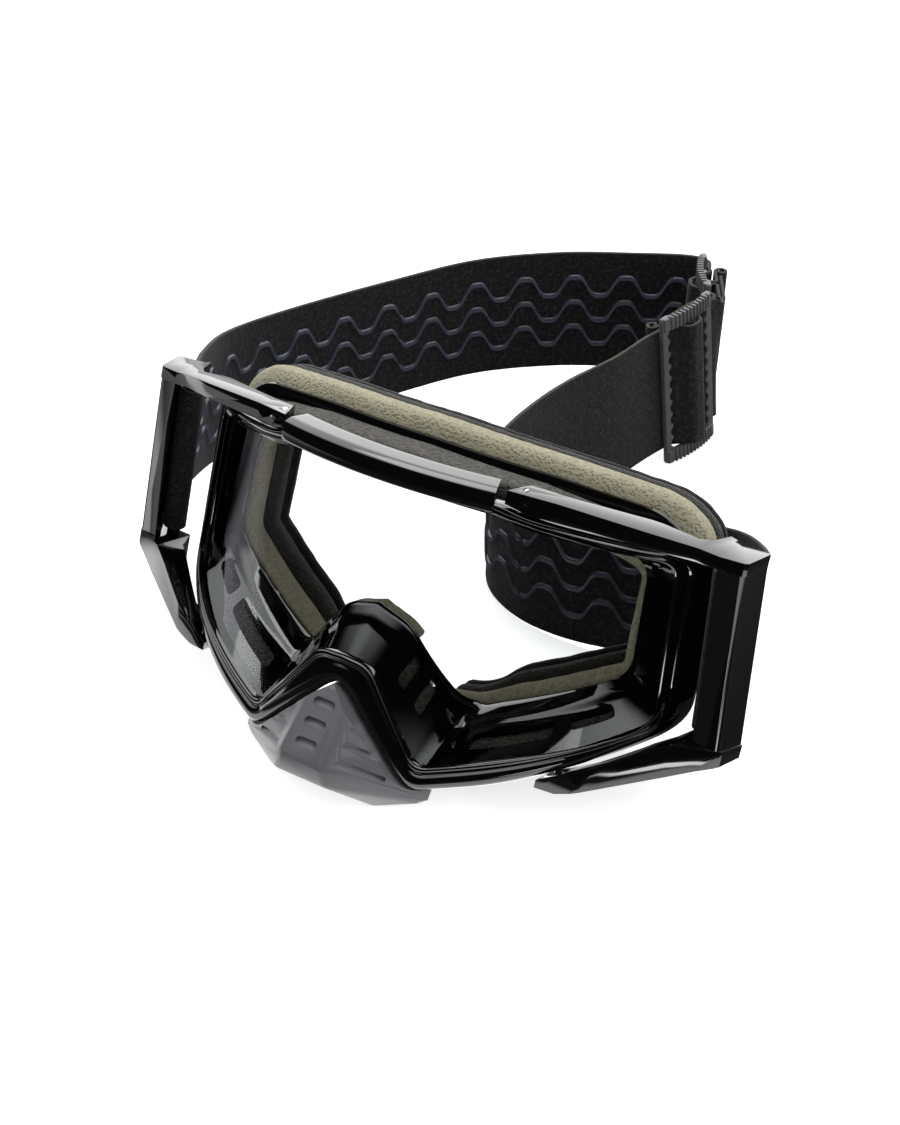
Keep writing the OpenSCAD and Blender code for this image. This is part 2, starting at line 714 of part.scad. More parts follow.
// The strap's end, folded round a strap bar and sewn
loop_r = strap_bar_r + 0.1 + strap_t;
module strap_end(dir) {
    at_post()
        translate([strap_bar[0], strap_bar[1], strap_mid - strap_w / 2])
            difference() {
                union() {
                    cylinder(r = loop_r, h = strap_w);
                    rotate([0, 0, atan2(dir[1], dir[0])])
                        translate([loop_r - strap_t / 2, -strap_t, 0])
                            cube([end_len - strap_gap - loop_r + strap_t / 2, 2 * strap_t, strap_w]);
                }
                translate([0, 0, -1])
                    cylinder(r = strap_bar_r + 0.1, h = strap_w + 2);
            }
}
module strap_end_left() {
    color("#19191a")
        posed()
            mirror([1, 0, 0])
                strap_end(left_dir);
}
module strap_end_right() {
    color("#19191a")
        posed()
            strap_end(right_dir);
}

// Adjusters

module at_rest(a) {
    translate([a[0] - origin[0], a[1] - origin[1], rest_lift(a)])
        rotate([0, 0, a[2]])
            rotate([-a[4], -a[3], 0])
                children();
}
end_h = (slide_h - strap_w) / 2 - strap_gap;
arch_r = (slide_l * slide_l / 4 + slide_arch * slide_arch) / (2 * slide_arch);
rib_pitch = 2;
module arched_end() {
    difference() {
        intersection() {
            translate([0, arch_r - slide_arch - slide_t / 2, 0])
                difference() {
                    cylinder(r = arch_r, h = end_h);
                    translate([0, 0, -1])
                        cylinder(r = arch_r - slide_t, h = end_h + 2);
                }
            translate([-slide_l / 2, -slide_arch - slide_t, 0])
                cube([slide_l, slide_arch + 2 * slide_t, end_h]);
        }
        for (x = [-4:4])
            translate([x * rib_pitch - rib_pitch / 4, -slide_arch - slide_t, -1])
                cube([rib_pitch / 2, slide_t / 2 + 0.3 + x * x * 0.06, end_h + 2]);
    }
}
scallop_r = 1.9;
scallops = 10;
module outer_bar() {
    difference() {
        translate([slide_l / 2 - slide_bar_w, -slide_t / 2, 0])
            cube([slide_bar_w, slide_t, slide_h]);
        for (k = [0:scallops - 1])
            translate([slide_l / 2 - slide_bar_w - scallop_r * 0.4, 0,
                end_h + (slide_h - 2 * end_h) * (k + 0.5) / scallops])
                rotate([90, 0, 0])
                    cylinder(r = scallop_r, h = 4 * slide_t, center = true, $fn = 24);
    }
}
module adjuster() {
    arched_end();
    translate([0, 0, slide_h - end_h])
        arched_end();
    outer_bar();
    mirror([1, 0, 0])
        outer_bar();
    translate([0, middle_y, 0])
        cylinder(r = slide_pin_r, h = slide_h);
}
module adjuster_back() {
    color("#4a4b4d")
        at_rest(back_rest)
            adjuster();
}
module adjuster_front() {
    color("#4a4b4d")
        at_rest(front_rest)
            adjuster();
}
// A band's end, folded round an adjuster's middle bar and sewn, with its hem rolled behind
roll_r = 2.9;
roll_u = -9;
module sewn_end() {
    translate([0, 0, (slide_h - strap_w) / 2])
        difference() {
            union() {
                translate([0, middle_y, 0])
                    cylinder(r = slide_pin_r + 0.1 + strap_t, h = strap_w);
                translate([-strap_t, middle_y, 0])
                    cube([2 * strap_t, tail_y - middle_y, strap_w]);
                translate([roll_u, tail_y - strap_t, 0])
                    cube([11 - roll_u, 2 * strap_t, strap_w]);
                translate([roll_u, tail_y + roll_r - strap_t, 0])
                    cylinder(r = roll_r, h = strap_w);
            }
            translate([0, middle_y, -1])
                cylinder(r = slide_pin_r + 0.1, h = strap_w + 2);
            translate([roll_u, tail_y + roll_r - strap_t, -1])
                cylinder(r = roll_r - strap_t, h = strap_w + 2);
        }
}
module sewn_end_back() {
    color("#19191a")
        at_rest(back_rest)
            sewn_end();
}
module sewn_end_front() {
    color("#19191a")
        at_rest(front_rest)
            sewn_end();
}

front_frame();
face_frame();
lens();
outrigger_left();
outrigger_right();
hinge_pins_left();
hinge_pins_right();
nose_guard();
face_foam_base();
face_foam_mid();
face_fleece();
nose_foam();
top_vent_foam();
corner_vent_foam_left();
corner_vent_foam_right();
bottom_vent_foam_left();
bottom_vent_foam_right();
nose_vent_foam_left();
nose_vent_foam_right();
strap_left();
strap_right();
strap_end_left();
strap_end_right();
grip_beads_left();
grip_beads_right();
adjuster_back();
adjuster_front();
sewn_end_back();
sewn_end_front();
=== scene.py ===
"""Off-road goggles with a clear lens, dressed over their CAD frame.

Every piece is worked out in the frame's own axes in millimetres (X to the wearer's side, Y back to
the face, Z up), leant back as the goggles rest, and put down in metres where the CAD has it.
"""

import math
from functools import partial

import bmesh
import bpy
import numpy as np
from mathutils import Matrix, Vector


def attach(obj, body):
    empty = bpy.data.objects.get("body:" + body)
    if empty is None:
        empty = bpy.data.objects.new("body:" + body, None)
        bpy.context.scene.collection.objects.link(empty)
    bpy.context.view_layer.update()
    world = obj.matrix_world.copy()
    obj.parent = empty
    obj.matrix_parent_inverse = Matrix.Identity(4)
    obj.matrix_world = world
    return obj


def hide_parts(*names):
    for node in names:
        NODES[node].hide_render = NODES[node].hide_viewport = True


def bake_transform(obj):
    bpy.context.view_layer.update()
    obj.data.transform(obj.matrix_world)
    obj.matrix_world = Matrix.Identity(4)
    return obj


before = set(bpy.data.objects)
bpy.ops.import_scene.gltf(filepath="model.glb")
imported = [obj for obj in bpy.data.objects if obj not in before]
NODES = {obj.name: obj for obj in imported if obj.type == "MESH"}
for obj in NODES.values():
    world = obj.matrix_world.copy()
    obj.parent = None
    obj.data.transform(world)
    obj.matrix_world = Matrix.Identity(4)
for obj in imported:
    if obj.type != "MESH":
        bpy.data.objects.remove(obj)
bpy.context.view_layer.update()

bl_info = {
    "name": "Off-road goggles",
    "version": (1, 0, 0),
    "blender": (4, 5, 0),
    "location": "3D View > Sidebar > Goggles",
    "description": "Builds off-road goggles piece by piece, and a plain studio round them",
    "category": "Object",
}

# How the goggles rest, in millimetres: leant back about X until the nose guard's lowest corner,
# FOOT_Y behind the lens axis and FOOT_Z high, is on the ground, and the row frame's origin there
LEAN, FOOT_Y, FOOT_Z = math.radians(19.3), 1.0, -50.6
FOOT = FOOT_Y * math.sin(LEAN) - FOOT_Z * math.cos(LEAN)
ORIGIN = np.array([-9.356, 106.439, 0.0])

# Frame depths and radii, as the solids have them
LENS_R, LENS_Y, LENS_T, LENS_GAP = 92.0, 1.0, 0.9, 0.15
FACE_T, SKIRT_T, SKIRT_DEPTH, THROAT_T, THROAT_GAP = 3.3, 2.0, 8.5, 1.8, 0.6
FACE_Y = LENS_Y - LENS_GAP - FACE_T
THROAT_Y = LENS_Y + LENS_T + LENS_GAP
FACE_R, FLANGE_Y, FLANGE_T = 170.0, 26.5, 2.0
# Above TOP_Z the skirt is shorter, on a curve of its own
TOP_Z, TOP_SKIRT_R, TOP_SKIRT_Y = 25, 105.0, 9.0
# The nose arch's tighter curve, and how far it reaches sideways and up
NOSE_Y, NOSE_R, NOSE_HALF, NOSE_TOP = 13.0, 30.0, 27.0, 10
BASE_T, MID_T, FLEECE_T, SEAT, BOND = 8.0, 6.0, 3.0, 0.3, 0.1
STRAP_W, STRAP_T = 45.0, 1.6
SLIDE_H, SLIDE_L, SLIDE_T, SLIDE_PIN_R = 55.0, 24.4, 2.0, 1.1
SLIDE_BAR, SLIDE_ARCH, SLIDE_END = 3.6, 1.8, 4.7

# Half outlines, corner for corner: X, Z and how far from a corner its rounding starts
OUTER = [[0, 41.6, 0], [33.5, 40.4, 2], [39, 38.6, 3], [60, 36.8, 12], [79.6, 34.8, 5],
         [81, -14, 7], [67, -24, 10], [47, -35, 8], [26, -42.6, 4], [21.4, -40, 2],
         [3.6, -21.6, 3], [0, -19.2, 0]]
APERTURE = [[0, 38.8, 0], [26, 38.2, 10], [38, 36.3, 6], [52, 34.1, 8], [71.6, 31.6, 4],
            [75, -14.2, 6], [62, -21.7, 8], [44, -29, 8], [25.4, -36, 6], [20.5, -29.2, 2],
            [8, -11.9, 3.5], [0, -11.4, 0]]
FLANGE = [[0, 45.2, 0], [33, 44.6, 2], [40, 44.2, 6], [63, 42.2, 9], [71.5, 35.5, 7], [74, -6, 9],
          [64, -21, 8], [44, -32.3, 8], [28.5, -34.5, 3], [23, -30, 3], [8, -6.5, 3], [0, -3.4, 0]]
OPENING = [[0, 36, 0], [33, 35, 2], [38, 34.4, 3], [50, 32.6, 10], [62.5, 27.5, 5],
           [64.5, -3.5, 6], [56.5, -9.4, 6], [43.5, -16.4, 6], [28, -24, 3], [24, -21.5, 3],
           [9.6, -2.6, 4], [0, 0.6, 0]]
# The foam's outer and inner edges, from beside the nose round to the top middle
FOAM_OUTER = [[15, -35.5, 0], [27, -35.5, 5], [44, -32.3, 8], [64, -21, 8], [74, -6, 9],
              [73, 36, 7], [64, 43.6, 9], [40, 46.2, 14], [0, 47.4, 0]]
FOAM_INNER = [[15, -24.6, 0], [26, -24.3, 5], [42, -16.7, 6], [57, -8.1, 1], [64, -4, 13],
              [63.2, 24.5, 4], [59.6, 27.8, 4], [40, 33.6, 12], [0, 35.4, 0]]


def linear(code):
    """Turns an sRGB hex colour into the linear numbers that shaders take."""
    srgb = [int(code[i:i + 2], 16) / 255 for i in (1, 3, 5)]
    return tuple(c / 12.92 if c <= 0.04045 else ((c + 0.055) / 1.055) ** 2.4 for c in srgb)


def colour(name, description, code):
    """A colour setting with its sRGB hex value as the default."""
    return bpy.props.FloatVectorProperty(
        name=name, description=description, subtype="COLOR", size=3, min=0, max=1,
        default=linear(code))


def length(name, description, millimetres, low=0.0, high=1.0):
    """A length setting in metres, its default given in millimetres."""
    return bpy.props.FloatProperty(
        name=name, description=description, subtype="DISTANCE", unit="LENGTH", precision=5,
        default=millimetres / 1000, min=low, max=high)


class GogglesSizes(bpy.types.PropertyGroup):
    """Sizes that shape the finish without moving a solid."""

    corner_steps: bpy.props.IntProperty(
        name="Corner steps", description="Points round each corner of an outline", default=8,
        min=3, max=16)
    span: length("Span", "Longest straight stretch between two points of an outline", 3.0)
    bevel: length("Edge rounding", "Rounding on the edges of moulded plates", 0.35)
    bead_height: length("Bead height", "Height of the grip beads above the strap", 1.0)
    bead_width: length("Bead width", "Width of a grip bead", 2.2)
    weave: length("Elastic rib", "Spacing of the strap's twill ribs", 1.1)
    foam_cell: length("Foam cell", "Size of the open cells of the face foam", 0.95)
    vent_cell: length("Vent cell", "Size of the coarse cells of the vent foam", 1.35)
    lens_focal: bpy.props.FloatProperty(
        name="Camera lens", description="Focal length for a 36 mm sensor", default=63.59, min=20,
        max=200, subtype="DISTANCE_CAMERA", unit="CAMERA")


class GogglesColours(bpy.types.PropertyGroup):
    """Colours of the finishes."""

    gloss: colour("Frame", "Gloss black frame and outriggers", "#060607")
    guard: colour("Nose guard", "Matt dark grey nose guard", "#5b5c5f")
    foam_pale: colour("Base foam", "Beige face foam", "#a9a48d")
    foam_dark: colour("Middle foam", "Dark grey face foam", "#3a3935")
    fleece: colour("Fleece", "Black fleece against the face", "#161616")
    vent: colour("Vent foam", "Grey vent foam", "#4a4842")
    strap: colour("Strap", "Black elastic strap", "#0f0f10")
    strap_edge: colour("Strap edge", "Paler core at the strap's edges", "#57534a")
    bead: colour("Grip beads", "Blue-grey silicone beads", "#464854")
    adjuster: colour("Adjusters", "Matt grey adjusters", "#515254")
    steel: colour("Hinge pins", "Steel hinge pins", "#b9babd")


# Surfaces worked out in numpy


def unit(v):
    """Each vector over its own length."""
    return v / np.linalg.norm(v, axis=-1, keepdims=True)


def stand(p):
    """Frame's own millimetres to the row frame: leant back about X, put on its foot, metres."""
    p = np.asarray(p, float)
    y = p[..., 1] * math.cos(LEAN) + p[..., 2] * math.sin(LEAN)
    z = FOOT - p[..., 1] * math.sin(LEAN) + p[..., 2] * math.cos(LEAN)
    return (np.stack([p[..., 0], y, z], -1) - ORIGIN) / 1000


def lay(p):
    """Ground millimetres to the row frame: the origin taken off, metres."""
    return (np.asarray(p, float) - ORIGIN) / 1000


def mirrored(half):
    """A half outline followed by its mirror image, walked on round the loop."""
    half = np.array(half, float)
    back = half[::-1][half[::-1, 0] > 0.01]
    return np.concatenate([half, back * [-1, 1, 1]])


def inset(c, d):
    """Each corner moved along its bisector, so that every side lies d further in."""
    p = c[:, :2]
    a, b = unit(p - np.roll(p, 1, 0)), unit(np.roll(p, -1, 0) - p)
    na = np.stack([a[:, 1], -a[:, 0]], 1)
    nb = np.stack([b[:, 1], -b[:, 0]], 1)
    m = (na + nb) / (1 + (na * nb).sum(1, keepdims=True)) * d
    return np.column_stack([p + m, c[:, 2]])


def stations(c, steps, span, closed=True):
    """Where an outline is sampled: (corner, share round it) pairs, then (corner, share along the
    side after it) pairs, as two index arrays and one of shares, with True for a corner's."""
    n = len(c)
    sides = np.linalg.norm(np.roll(c[:, :2], -1, 0) - c[:, :2], axis=1)
    which, share, at_corner = [], [], []
    for i in range(n):
        t = np.linspace(0, 1, steps + 1) if c[i, 2] > 0 else np.array([0.5])
        k = int(math.ceil(sides[i] / span)) if closed or i < n - 1 else 1
        s = np.arange(1, k) / k
        which += [np.full(len(t) + len(s), i)]
        share += [t, s]
        at_corner += [np.ones(len(t), bool), np.zeros(len(s), bool)]
    return np.concatenate(which), np.concatenate(share), np.concatenate(at_corner)


def trace(c, keys, closed=True):
    """Points of an outline at its stations: a corner's curve is the quadratic Bezier from its
    cut before to its cut after, and a side's points lie evenly between two such curves."""
    which, t, at_corner = keys
    p = c[:, :2]
    before, after = np.roll(p, 1, 0) - p, np.roll(p, -1, 0) - p
    if not closed:
        before[0], after[-1] = -after[0], -before[-1]
    reach = np.minimum(np.linalg.norm(before, axis=1), np.linalg.norm(after, axis=1)) * 0.48
    cut = np.minimum(c[:, 2], reach)[:, None]
    start, end = p + unit(before) * cut, p + unit(after) * cut
    t = t[:, None]
    bend = (1 - t) ** 2 * start[which] + 2 * t * (1 - t) * p[which] + t ** 2 * end[which]
    side = end[which] * (1 - t) + start[(which + 1) % len(c)] * t
    return np.where(at_corner[:, None], bend, side)


def curve_y(r, x):
    """Depth of a circular arc of radius r behind its middle, at sideways distance x."""
    return r - np.sqrt(r * r - np.minimum(np.abs(x), r * 0.999) ** 2)


def spline(points, steps):
    """Catmull-Rom curve through rows of numbers, each stretch in so many steps."""
    p = np.asarray(points, float)
    q = np.concatenate([p[:1], p, p[-1:]])
    t = (np.arange(steps) / steps)[None, :, None]
    a, b, c, d = (q[i:len(q) - 3 + i, None, :] for i in range(4))
    s = 0.5 * (2 * b + (c - a) * t + (2 * a - 5 * b + 4 * c - d) * t ** 2
               + (3 * b - a - 3 * c + d) * t ** 3)
    return np.concatenate([s.reshape(-1, p.shape[1]), p[-1:]])


def ripple(p, size, seed=0.0):
    """Smooth unevenness from -1 to 1: a sum of sines along three slanted directions, with waves
    about size long."""
    k = 2 * math.pi / size
    a = np.sin(p @ np.array([1.0, 0.37, -0.21]) * k + seed)
    b = np.sin(p @ np.array([-0.42, 1.13, 0.31]) * k * 1.31 + 2.1 * seed + a)
    c = np.sin(p @ np.array([0.18, -0.29, 1.21]) * k * 0.83 + 0.7 * seed + b)
    return (a + b + c) / 3


def walked(p):
    """The length walked along a line of points, at each of them."""
    return np.append(0, np.cumsum(np.linalg.norm(np.diff(p, axis=0), axis=1)))


def rounded_box(count, power):
    """Points round a square section with rounded corners, both ways from -1 to 1."""
    a = np.linspace(0, 2 * math.pi, count, endpoint=False)
    return (np.sign(w) * np.abs(w) ** power for w in (np.cos(a), np.sin(a)))


def tapered(count, end):
    """Sizes of a strip's sections: 1, and less in two steps at both ends."""
    size = np.ones(count)
    size[[0, -1]], size[[1, -2]] = end, 0.9
    return size


def uneven(p, size, height, seed=0.0):
    """Sections of points, moved out from their middles by ripples of so many millimetres."""
    middle = p.mean(1, keepdims=True)
    return p + unit(p - middle) * (ripple(p, size, seed) * height)[..., None]


def beside(line, across, out):
    """Points beside a line of places with directions up and sideways: so far across along the
    first direction and so far out along the second."""
    place, up, side = (v[:, None] for v in line)
    return place + up * across[..., None] + side * out[..., None]


def linked(name, data):
    """A new object in the scene."""
    obj = bpy.data.objects.new(name, data)
    bpy.context.scene.collection.objects.link(obj)
    return obj


def filled(name, work):
    """A new object from a bmesh, which is freed."""
    mesh = bpy.data.meshes.new(name)
    work.to_mesh(mesh)
    work.free()
    return linked(name, mesh)


def smoothed(mesh, sharp):
    """Shades a mesh smooth between edges that bend by more than so many degrees."""
    mesh.polygons.foreach_set("use_smooth", np.full(len(mesh.polygons), True))
    mesh.set_sharp_from_angle(angle=math.radians(sharp))


def surface(name, grid, along=False, uv=None, values=None):
    """A mesh from a grid of points (rows along, columns around). Each row is closed on itself.
    along joins the last row to the first; without it both ends are capped with a fan about the
    row's mean. Faces point outwards: a negative volume turns them all round."""
    n, m = grid.shape[:2]
    i, j = np.meshgrid(np.arange(n if along else n - 1), np.arange(m), indexing="ij")
    i2, j2 = (i + 1) % n, (j + 1) % m
    quads = np.stack([i * m + j, i * m + j2, i2 * m + j2, i2 * m + j], -1).reshape(-1, 4)
    points = grid.reshape(-1, 3)
    faces = quads.tolist()
    if not along:
        points = np.concatenate([points, grid[:1].mean(1), grid[-1:].mean(1)])
        k = np.arange(m)
        k2, last = (k + 1) % m, (n - 1) * m
        faces += np.stack([np.full(m, n * m), k2, k], 1).tolist()
        faces += np.stack([np.full(m, n * m + 1), last + k, last + k2], 1).tolist()
    tri = points[quads]
    volume = (np.cross(tri[:, 0], tri[:, 1]) * tri[:, 2]).sum() + \
        (np.cross(tri[:, 0], tri[:, 2]) * tri[:, 3]).sum()
    if volume < 0:
        faces = [f[::-1] for f in faces]
    mesh = bpy.data.meshes.new(name)
    mesh.from_pydata(points.tolist(), [], faces)
    if uv is not None:
        layer = mesh.uv_layers.new(name="cloth")
        corner = np.empty(len(mesh.loops), int)
        mesh.loops.foreach_get("vertex_index", corner)
        flat = np.concatenate([uv.reshape(-1, 2), uv[:1].mean(1), uv[-1:].mean(1)])
        layer.data.foreach_set("uv", flat[corner].ravel())
    for key, value in (values or {}).items():
        layer = mesh.attributes.new(key, "FLOAT", "POINT")
        value = np.broadcast_to(value, (n, m)).ravel()
        pad = np.full(len(points) - n * m, value[-1])
        layer.data.foreach_set("value", np.concatenate([value, pad]).astype(np.float32))
    smoothed(mesh, 52)
    mesh.update()
    return linked(name, mesh)


def finish(obj, look, body, nodes):
    """Gives a piece its material and body, and hides the nodes that it stands for."""
    obj.data.materials.append(look)
    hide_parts(*nodes)
    if body:
        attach(obj, body)


def bevel(obj, width, segments, angle):
    """Rounds a piece's edges that bend by more than so many degrees, by a Bevel modifier."""
    mod = obj.modifiers.new("edges", "BEVEL")
    mod.width, mod.segments, mod.harden_normals = width, segments, True
    mod.limit_method, mod.angle_limit = "ANGLE", math.radians(angle)
    obj.data.polygons.foreach_set("use_smooth", np.full(len(obj.data.polygons), True))


def dissolved(work, angle):
    """Takes the edges out of a bmesh that bend by less than so many degrees."""
    bmesh.ops.dissolve_limit(work, angle_limit=math.radians(angle), verts=work.verts,
                             edges=work.edges)


def copied(node, name):
    """A copy of a CAD node's mesh with its loose triangles merged and flat ones dissolved."""
    mesh = NODES[node].data.copy()
    mesh.name = name
    mesh.materials.clear()
    work = bmesh.new()
    work.from_mesh(mesh)
    bmesh.ops.remove_doubles(work, verts=work.verts, dist=2e-5)
    dissolved(work, 1.5)
    work.to_mesh(mesh)
    work.free()
    return linked(name, mesh)


def cut(obj, cutter):
    """Takes the cutter's solid out of the piece, then removes the cutter."""
    mod = obj.modifiers.new("slots", "BOOLEAN")
    mod.object, mod.operation, mod.solver, mod.use_self = cutter, "DIFFERENCE", "EXACT", True
    applied(obj)
    bpy.data.objects.remove(cutter, do_unlink=True)


def applied(obj):
    """Applies every modifier of a piece to its mesh."""
    graph = bpy.context.evaluated_depsgraph_get()
    mesh = bpy.data.meshes.new_from_object(obj.evaluated_get(graph))
    old = obj.data
    obj.modifiers.clear()
    obj.data = mesh
    bpy.data.meshes.remove(old)


def joined(name, objects):
    """One mesh from several, in the same place."""
    work = bmesh.new()
    for o in objects:
        work.from_mesh(o.data)
        bpy.data.objects.remove(o, do_unlink=True)
    return filled(name, work)


# The moulded frame


def frame_keys(sizes):
    """The stations round the frame that its outlines, the lens and the throat have in common."""
    return stations(mirrored(OUTER), sizes.corner_steps, sizes.span * 1000)


# The rim's face from the lens to its outer edge: share of the way out, millimetres out, depth.
# Its roll is narrower where the face is narrower than FACE_WIDE.
FACE_WIDE = 7.5
RIM = np.array([
    [0, 0, 2.95], [0, 0, 1.5], [0, 0.15, 0.75], [0, 0.5, 0.3], [0, 1.0, 0.15], [0, 1.5, 0.35],
    [0, 1.9, 0.8], [0, 2.4, 1.0], [0.3, 0.6, 0.75], [0.42, 0, 0.3], [0.55, 0, 0.0], [0.7, 0, -0.1],
    [0.82, 0, 0.1], [0.9, 0, 0.45], [0.96, 0, 1.0], [0.99, 0, 1.7], [1, 0, 2.6]])
# The top bar: half its length, and its section in distance from the lens radius and height
BAR_HALF = 31.9
BAR = np.array([[-2.6, 39.4, 0.6], [1.4, 38.1, 0.8], [5.2, 38.4, 0.6], [5.7, 40.9, 0.9],
                [5.2, 43.7, 0.5], [3.4, 44.8, 0.6], [-2.6, 45.6, 0.6]])


def skirt_end(x, z):
    """Depth where the skirt ends: on the lens curve, shorter above the vents and at the flange."""
    end = LENS_Y - LENS_GAP + SKIRT_DEPTH + curve_y(LENS_R, x)
    end = np.minimum(end, np.where(z > TOP_Z, TOP_SKIRT_Y + curve_y(TOP_SKIRT_R, x), 1e3))
    return np.minimum(end, FLANGE_Y - THROAT_GAP + curve_y(FACE_R, x))


def rim_grid(sizes):
    """The front frame's closed sections: along each station's line from the aperture to the outer
    edge the face follows RIM over the lens curve, then the skirt goes back and returns inside."""
    keys = frame_keys(sizes)
    outer, aperture, inner = (trace(c, keys) for c in (
        mirrored(OUTER), mirrored(APERTURE), inset(mirrored(OUTER), SKIRT_T)))
    way = outer - aperture
    wide = np.linalg.norm(way, axis=1, keepdims=True)
    share = RIM[:, 0] + RIM[:, 1] * np.minimum(1, wide / FACE_WIDE) / wide
    xz = aperture[:, None] + way[:, None] * np.minimum(share, 1)[..., None]
    y = FACE_Y + curve_y(LENS_R, xz[..., 0]) + RIM[:, 2]
    rows = [np.stack([xz[..., 0], y, xz[..., 1]], -1)]
    rear = skirt_end(outer[:, 0], outer[:, 1])
    front, back = y[:, -1], LENS_Y - LENS_GAP + curve_y(LENS_R, inner[:, 0])
    # share of the skirt's thickness from outside, where it starts, and share of the way back
    for k, start, t in ((0, front, 0.35), (0, front, 0.7), (0, front, 0.93), (0.2, front, 1),
                        (0.8, back, 1), (1, back, 0.93), (1, back, 0.4), (1, back, 0)):
        edge = outer * (1 - k) + inner * k
        rows.append(np.stack([edge[:, 0], start + (rear - start) * t, edge[:, 1]], -1)[:, None])
    return stand(np.concatenate(rows, 1))


def bar_grid():
    """The top bar: its section carried round the lens axis between the arms, drawn in a little
    at both ends, which lie square to the bar."""
    u = np.linspace(-1, 1, 61)
    u = np.concatenate([[-1, -0.996], u[1:-1], [0.996, 1]])
    turn = np.arcsin(BAR_HALF / (LENS_R + 4)) * u
    corners = BAR + [LENS_R, 0, 0]
    section = trace(corners, stations(corners, 5, 2.5))
    middle = section.mean(0)
    scale = np.where(np.abs(u) > 0.999, 0.93, np.where(np.abs(u) > 0.99, 0.985, 1.0))
    s = middle + (section - middle) * scale[:, None, None]
    r, z = s[..., 0], s[..., 1]
    return stand(np.stack([r * np.sin(turn)[:, None],
                           LENS_Y + LENS_R - r * np.cos(turn)[:, None], z], -1))


# The inner moulding: a throat from the lens back to a flange that carries the foam. Its stations
# are counted as in the solid, three steps round each corner and one along each side.

HALF = len(OUTER) - 1
TOTAL = 2 * (4 * (HALF - 1) + 1)


def rear_y(p):
    """Depth of the throat's rear edge: the face's curve, or the nose's tighter one before it."""
    y = FLANGE_Y + FLANGE_T / 2 + curve_y(FACE_R, p[..., 0])
    nose = NOSE_Y + curve_y(NOSE_R, np.clip(p[..., 0], 0.5 - NOSE_R, NOSE_R - 0.5))
    near = (np.abs(p[..., 0]) < NOSE_HALF) & (p[..., 1] < NOSE_TOP)
    return np.where(near, np.minimum(y, nose), y)


class Throat:
    """The throat's wall: at station s, share t from the lens to the face, and d outwards, a point
    on the straight line between the front and rear outlines, each moved out by d."""

    def __init__(self, sizes):
        outer, opening = mirrored(OUTER), mirrored(OPENING)
        keys = frame_keys(sizes)
        skirt = SKIRT_T + THROAT_GAP
        self.front_in, self.front_out, self.rear_in, self.rear_out, self.flange = (
            trace(c, keys) for c in (inset(outer, skirt + THROAT_T), inset(outer, skirt), opening,
                                     inset(opening, -THROAT_T), mirrored(FLANGE)))
        which, share, corner = keys
        i = np.where(which <= HALF, which, 2 * HALF - which)
        first = np.maximum(4 * i - 3, 0)

        def counted(first):
            return np.where(corner, first + 3 * share, first + 3 + share)
        # the middle points at the top and the nose are one station each
        right = np.where(i % HALF == 0, first + np.where(corner, 0, share), counted(first))
        self.s = np.where(which <= HALF, right, counted(TOTAL - first - 3))
        self.order = np.argsort(self.s, kind="stable")

    def at(self, s, t, d=0.0):
        """Points for stations s (any values in the solid's counting), shares t and distances d."""
        s, t, d = np.broadcast_arrays(*(np.asarray(v, float) for v in (s, t, d)))
        knots = np.append(self.s[self.order], TOTAL)

        def read(outline):
            closed = outline[np.append(self.order, self.order[0])]
            return np.stack([np.interp(s % TOTAL, knots, closed[:, k]) for k in (0, 1)], -1)
        k, t = (d / THROAT_T)[..., None], t[..., None]
        front = read(self.front_in) * (1 - k) + read(self.front_out) * k
        rear_in = read(self.rear_in)
        rear = rear_in * (1 - k) + read(self.rear_out) * k
        front = np.stack([front[..., 0], THROAT_Y + curve_y(LENS_R, front[..., 0]),
                          front[..., 1]], -1)
        rear = np.stack([rear[..., 0], rear_y(rear_in), rear[..., 1]], -1)
        return front * (1 - t) + rear * t

    def edge(self, dy, share=1.0):
        """The flange at a share of the way out to its edge, dy behind its middle."""
        r = self.rear_in
        q = r + (self.flange - r) * share
        y = rear_y(r) + curve_y(FACE_R, q[:, 0]) - curve_y(FACE_R, r[:, 0]) + dy
        return np.stack([q[:, 0], y, q[:, 1]], -1)


# Inside of the throat's wall: share of its depth and how far it stands out
WALL_STEPS = ((0, 0), (0.02, 0), (0.2, 0), (0.4, 0), (0.6, 0), (0.665, 0), (0.69, -0.55),
              (0.8, -0.55), (0.9, -0.55), (0.97, -0.5), (1.0, -0.15))
# The flange from its rear round its edge to its front: half thicknesses back, share of the way out
FLANGE_STEPS = ((0.6, -0.02), (1, 0.05), (1, 0.5), (1, 0.93), (0.7, 0.98), (0, 1.0), (-0.7, 0.98),
                (-1, 0.93))


def throat_grid(throat):
    """The moulding's closed sections: the inside of the wall with its ledge, the flange's rear,
    rounded edge and front, and the outside of the wall."""
    s, h = throat.s, FLANGE_T / 2
    rows = [throat.at(s, t, d) for t, d in WALL_STEPS]
    rows += [throat.edge(h * back, out) for back, out in FLANGE_STEPS]
    rows += [throat.at(s, 1.0, THROAT_T) - [0, h, 0]]
    rows += [throat.at(s, t, THROAT_T) for t in (0.6, 0.3, 0.0)]
    return stand(np.stack(rows, 1))[throat.order]


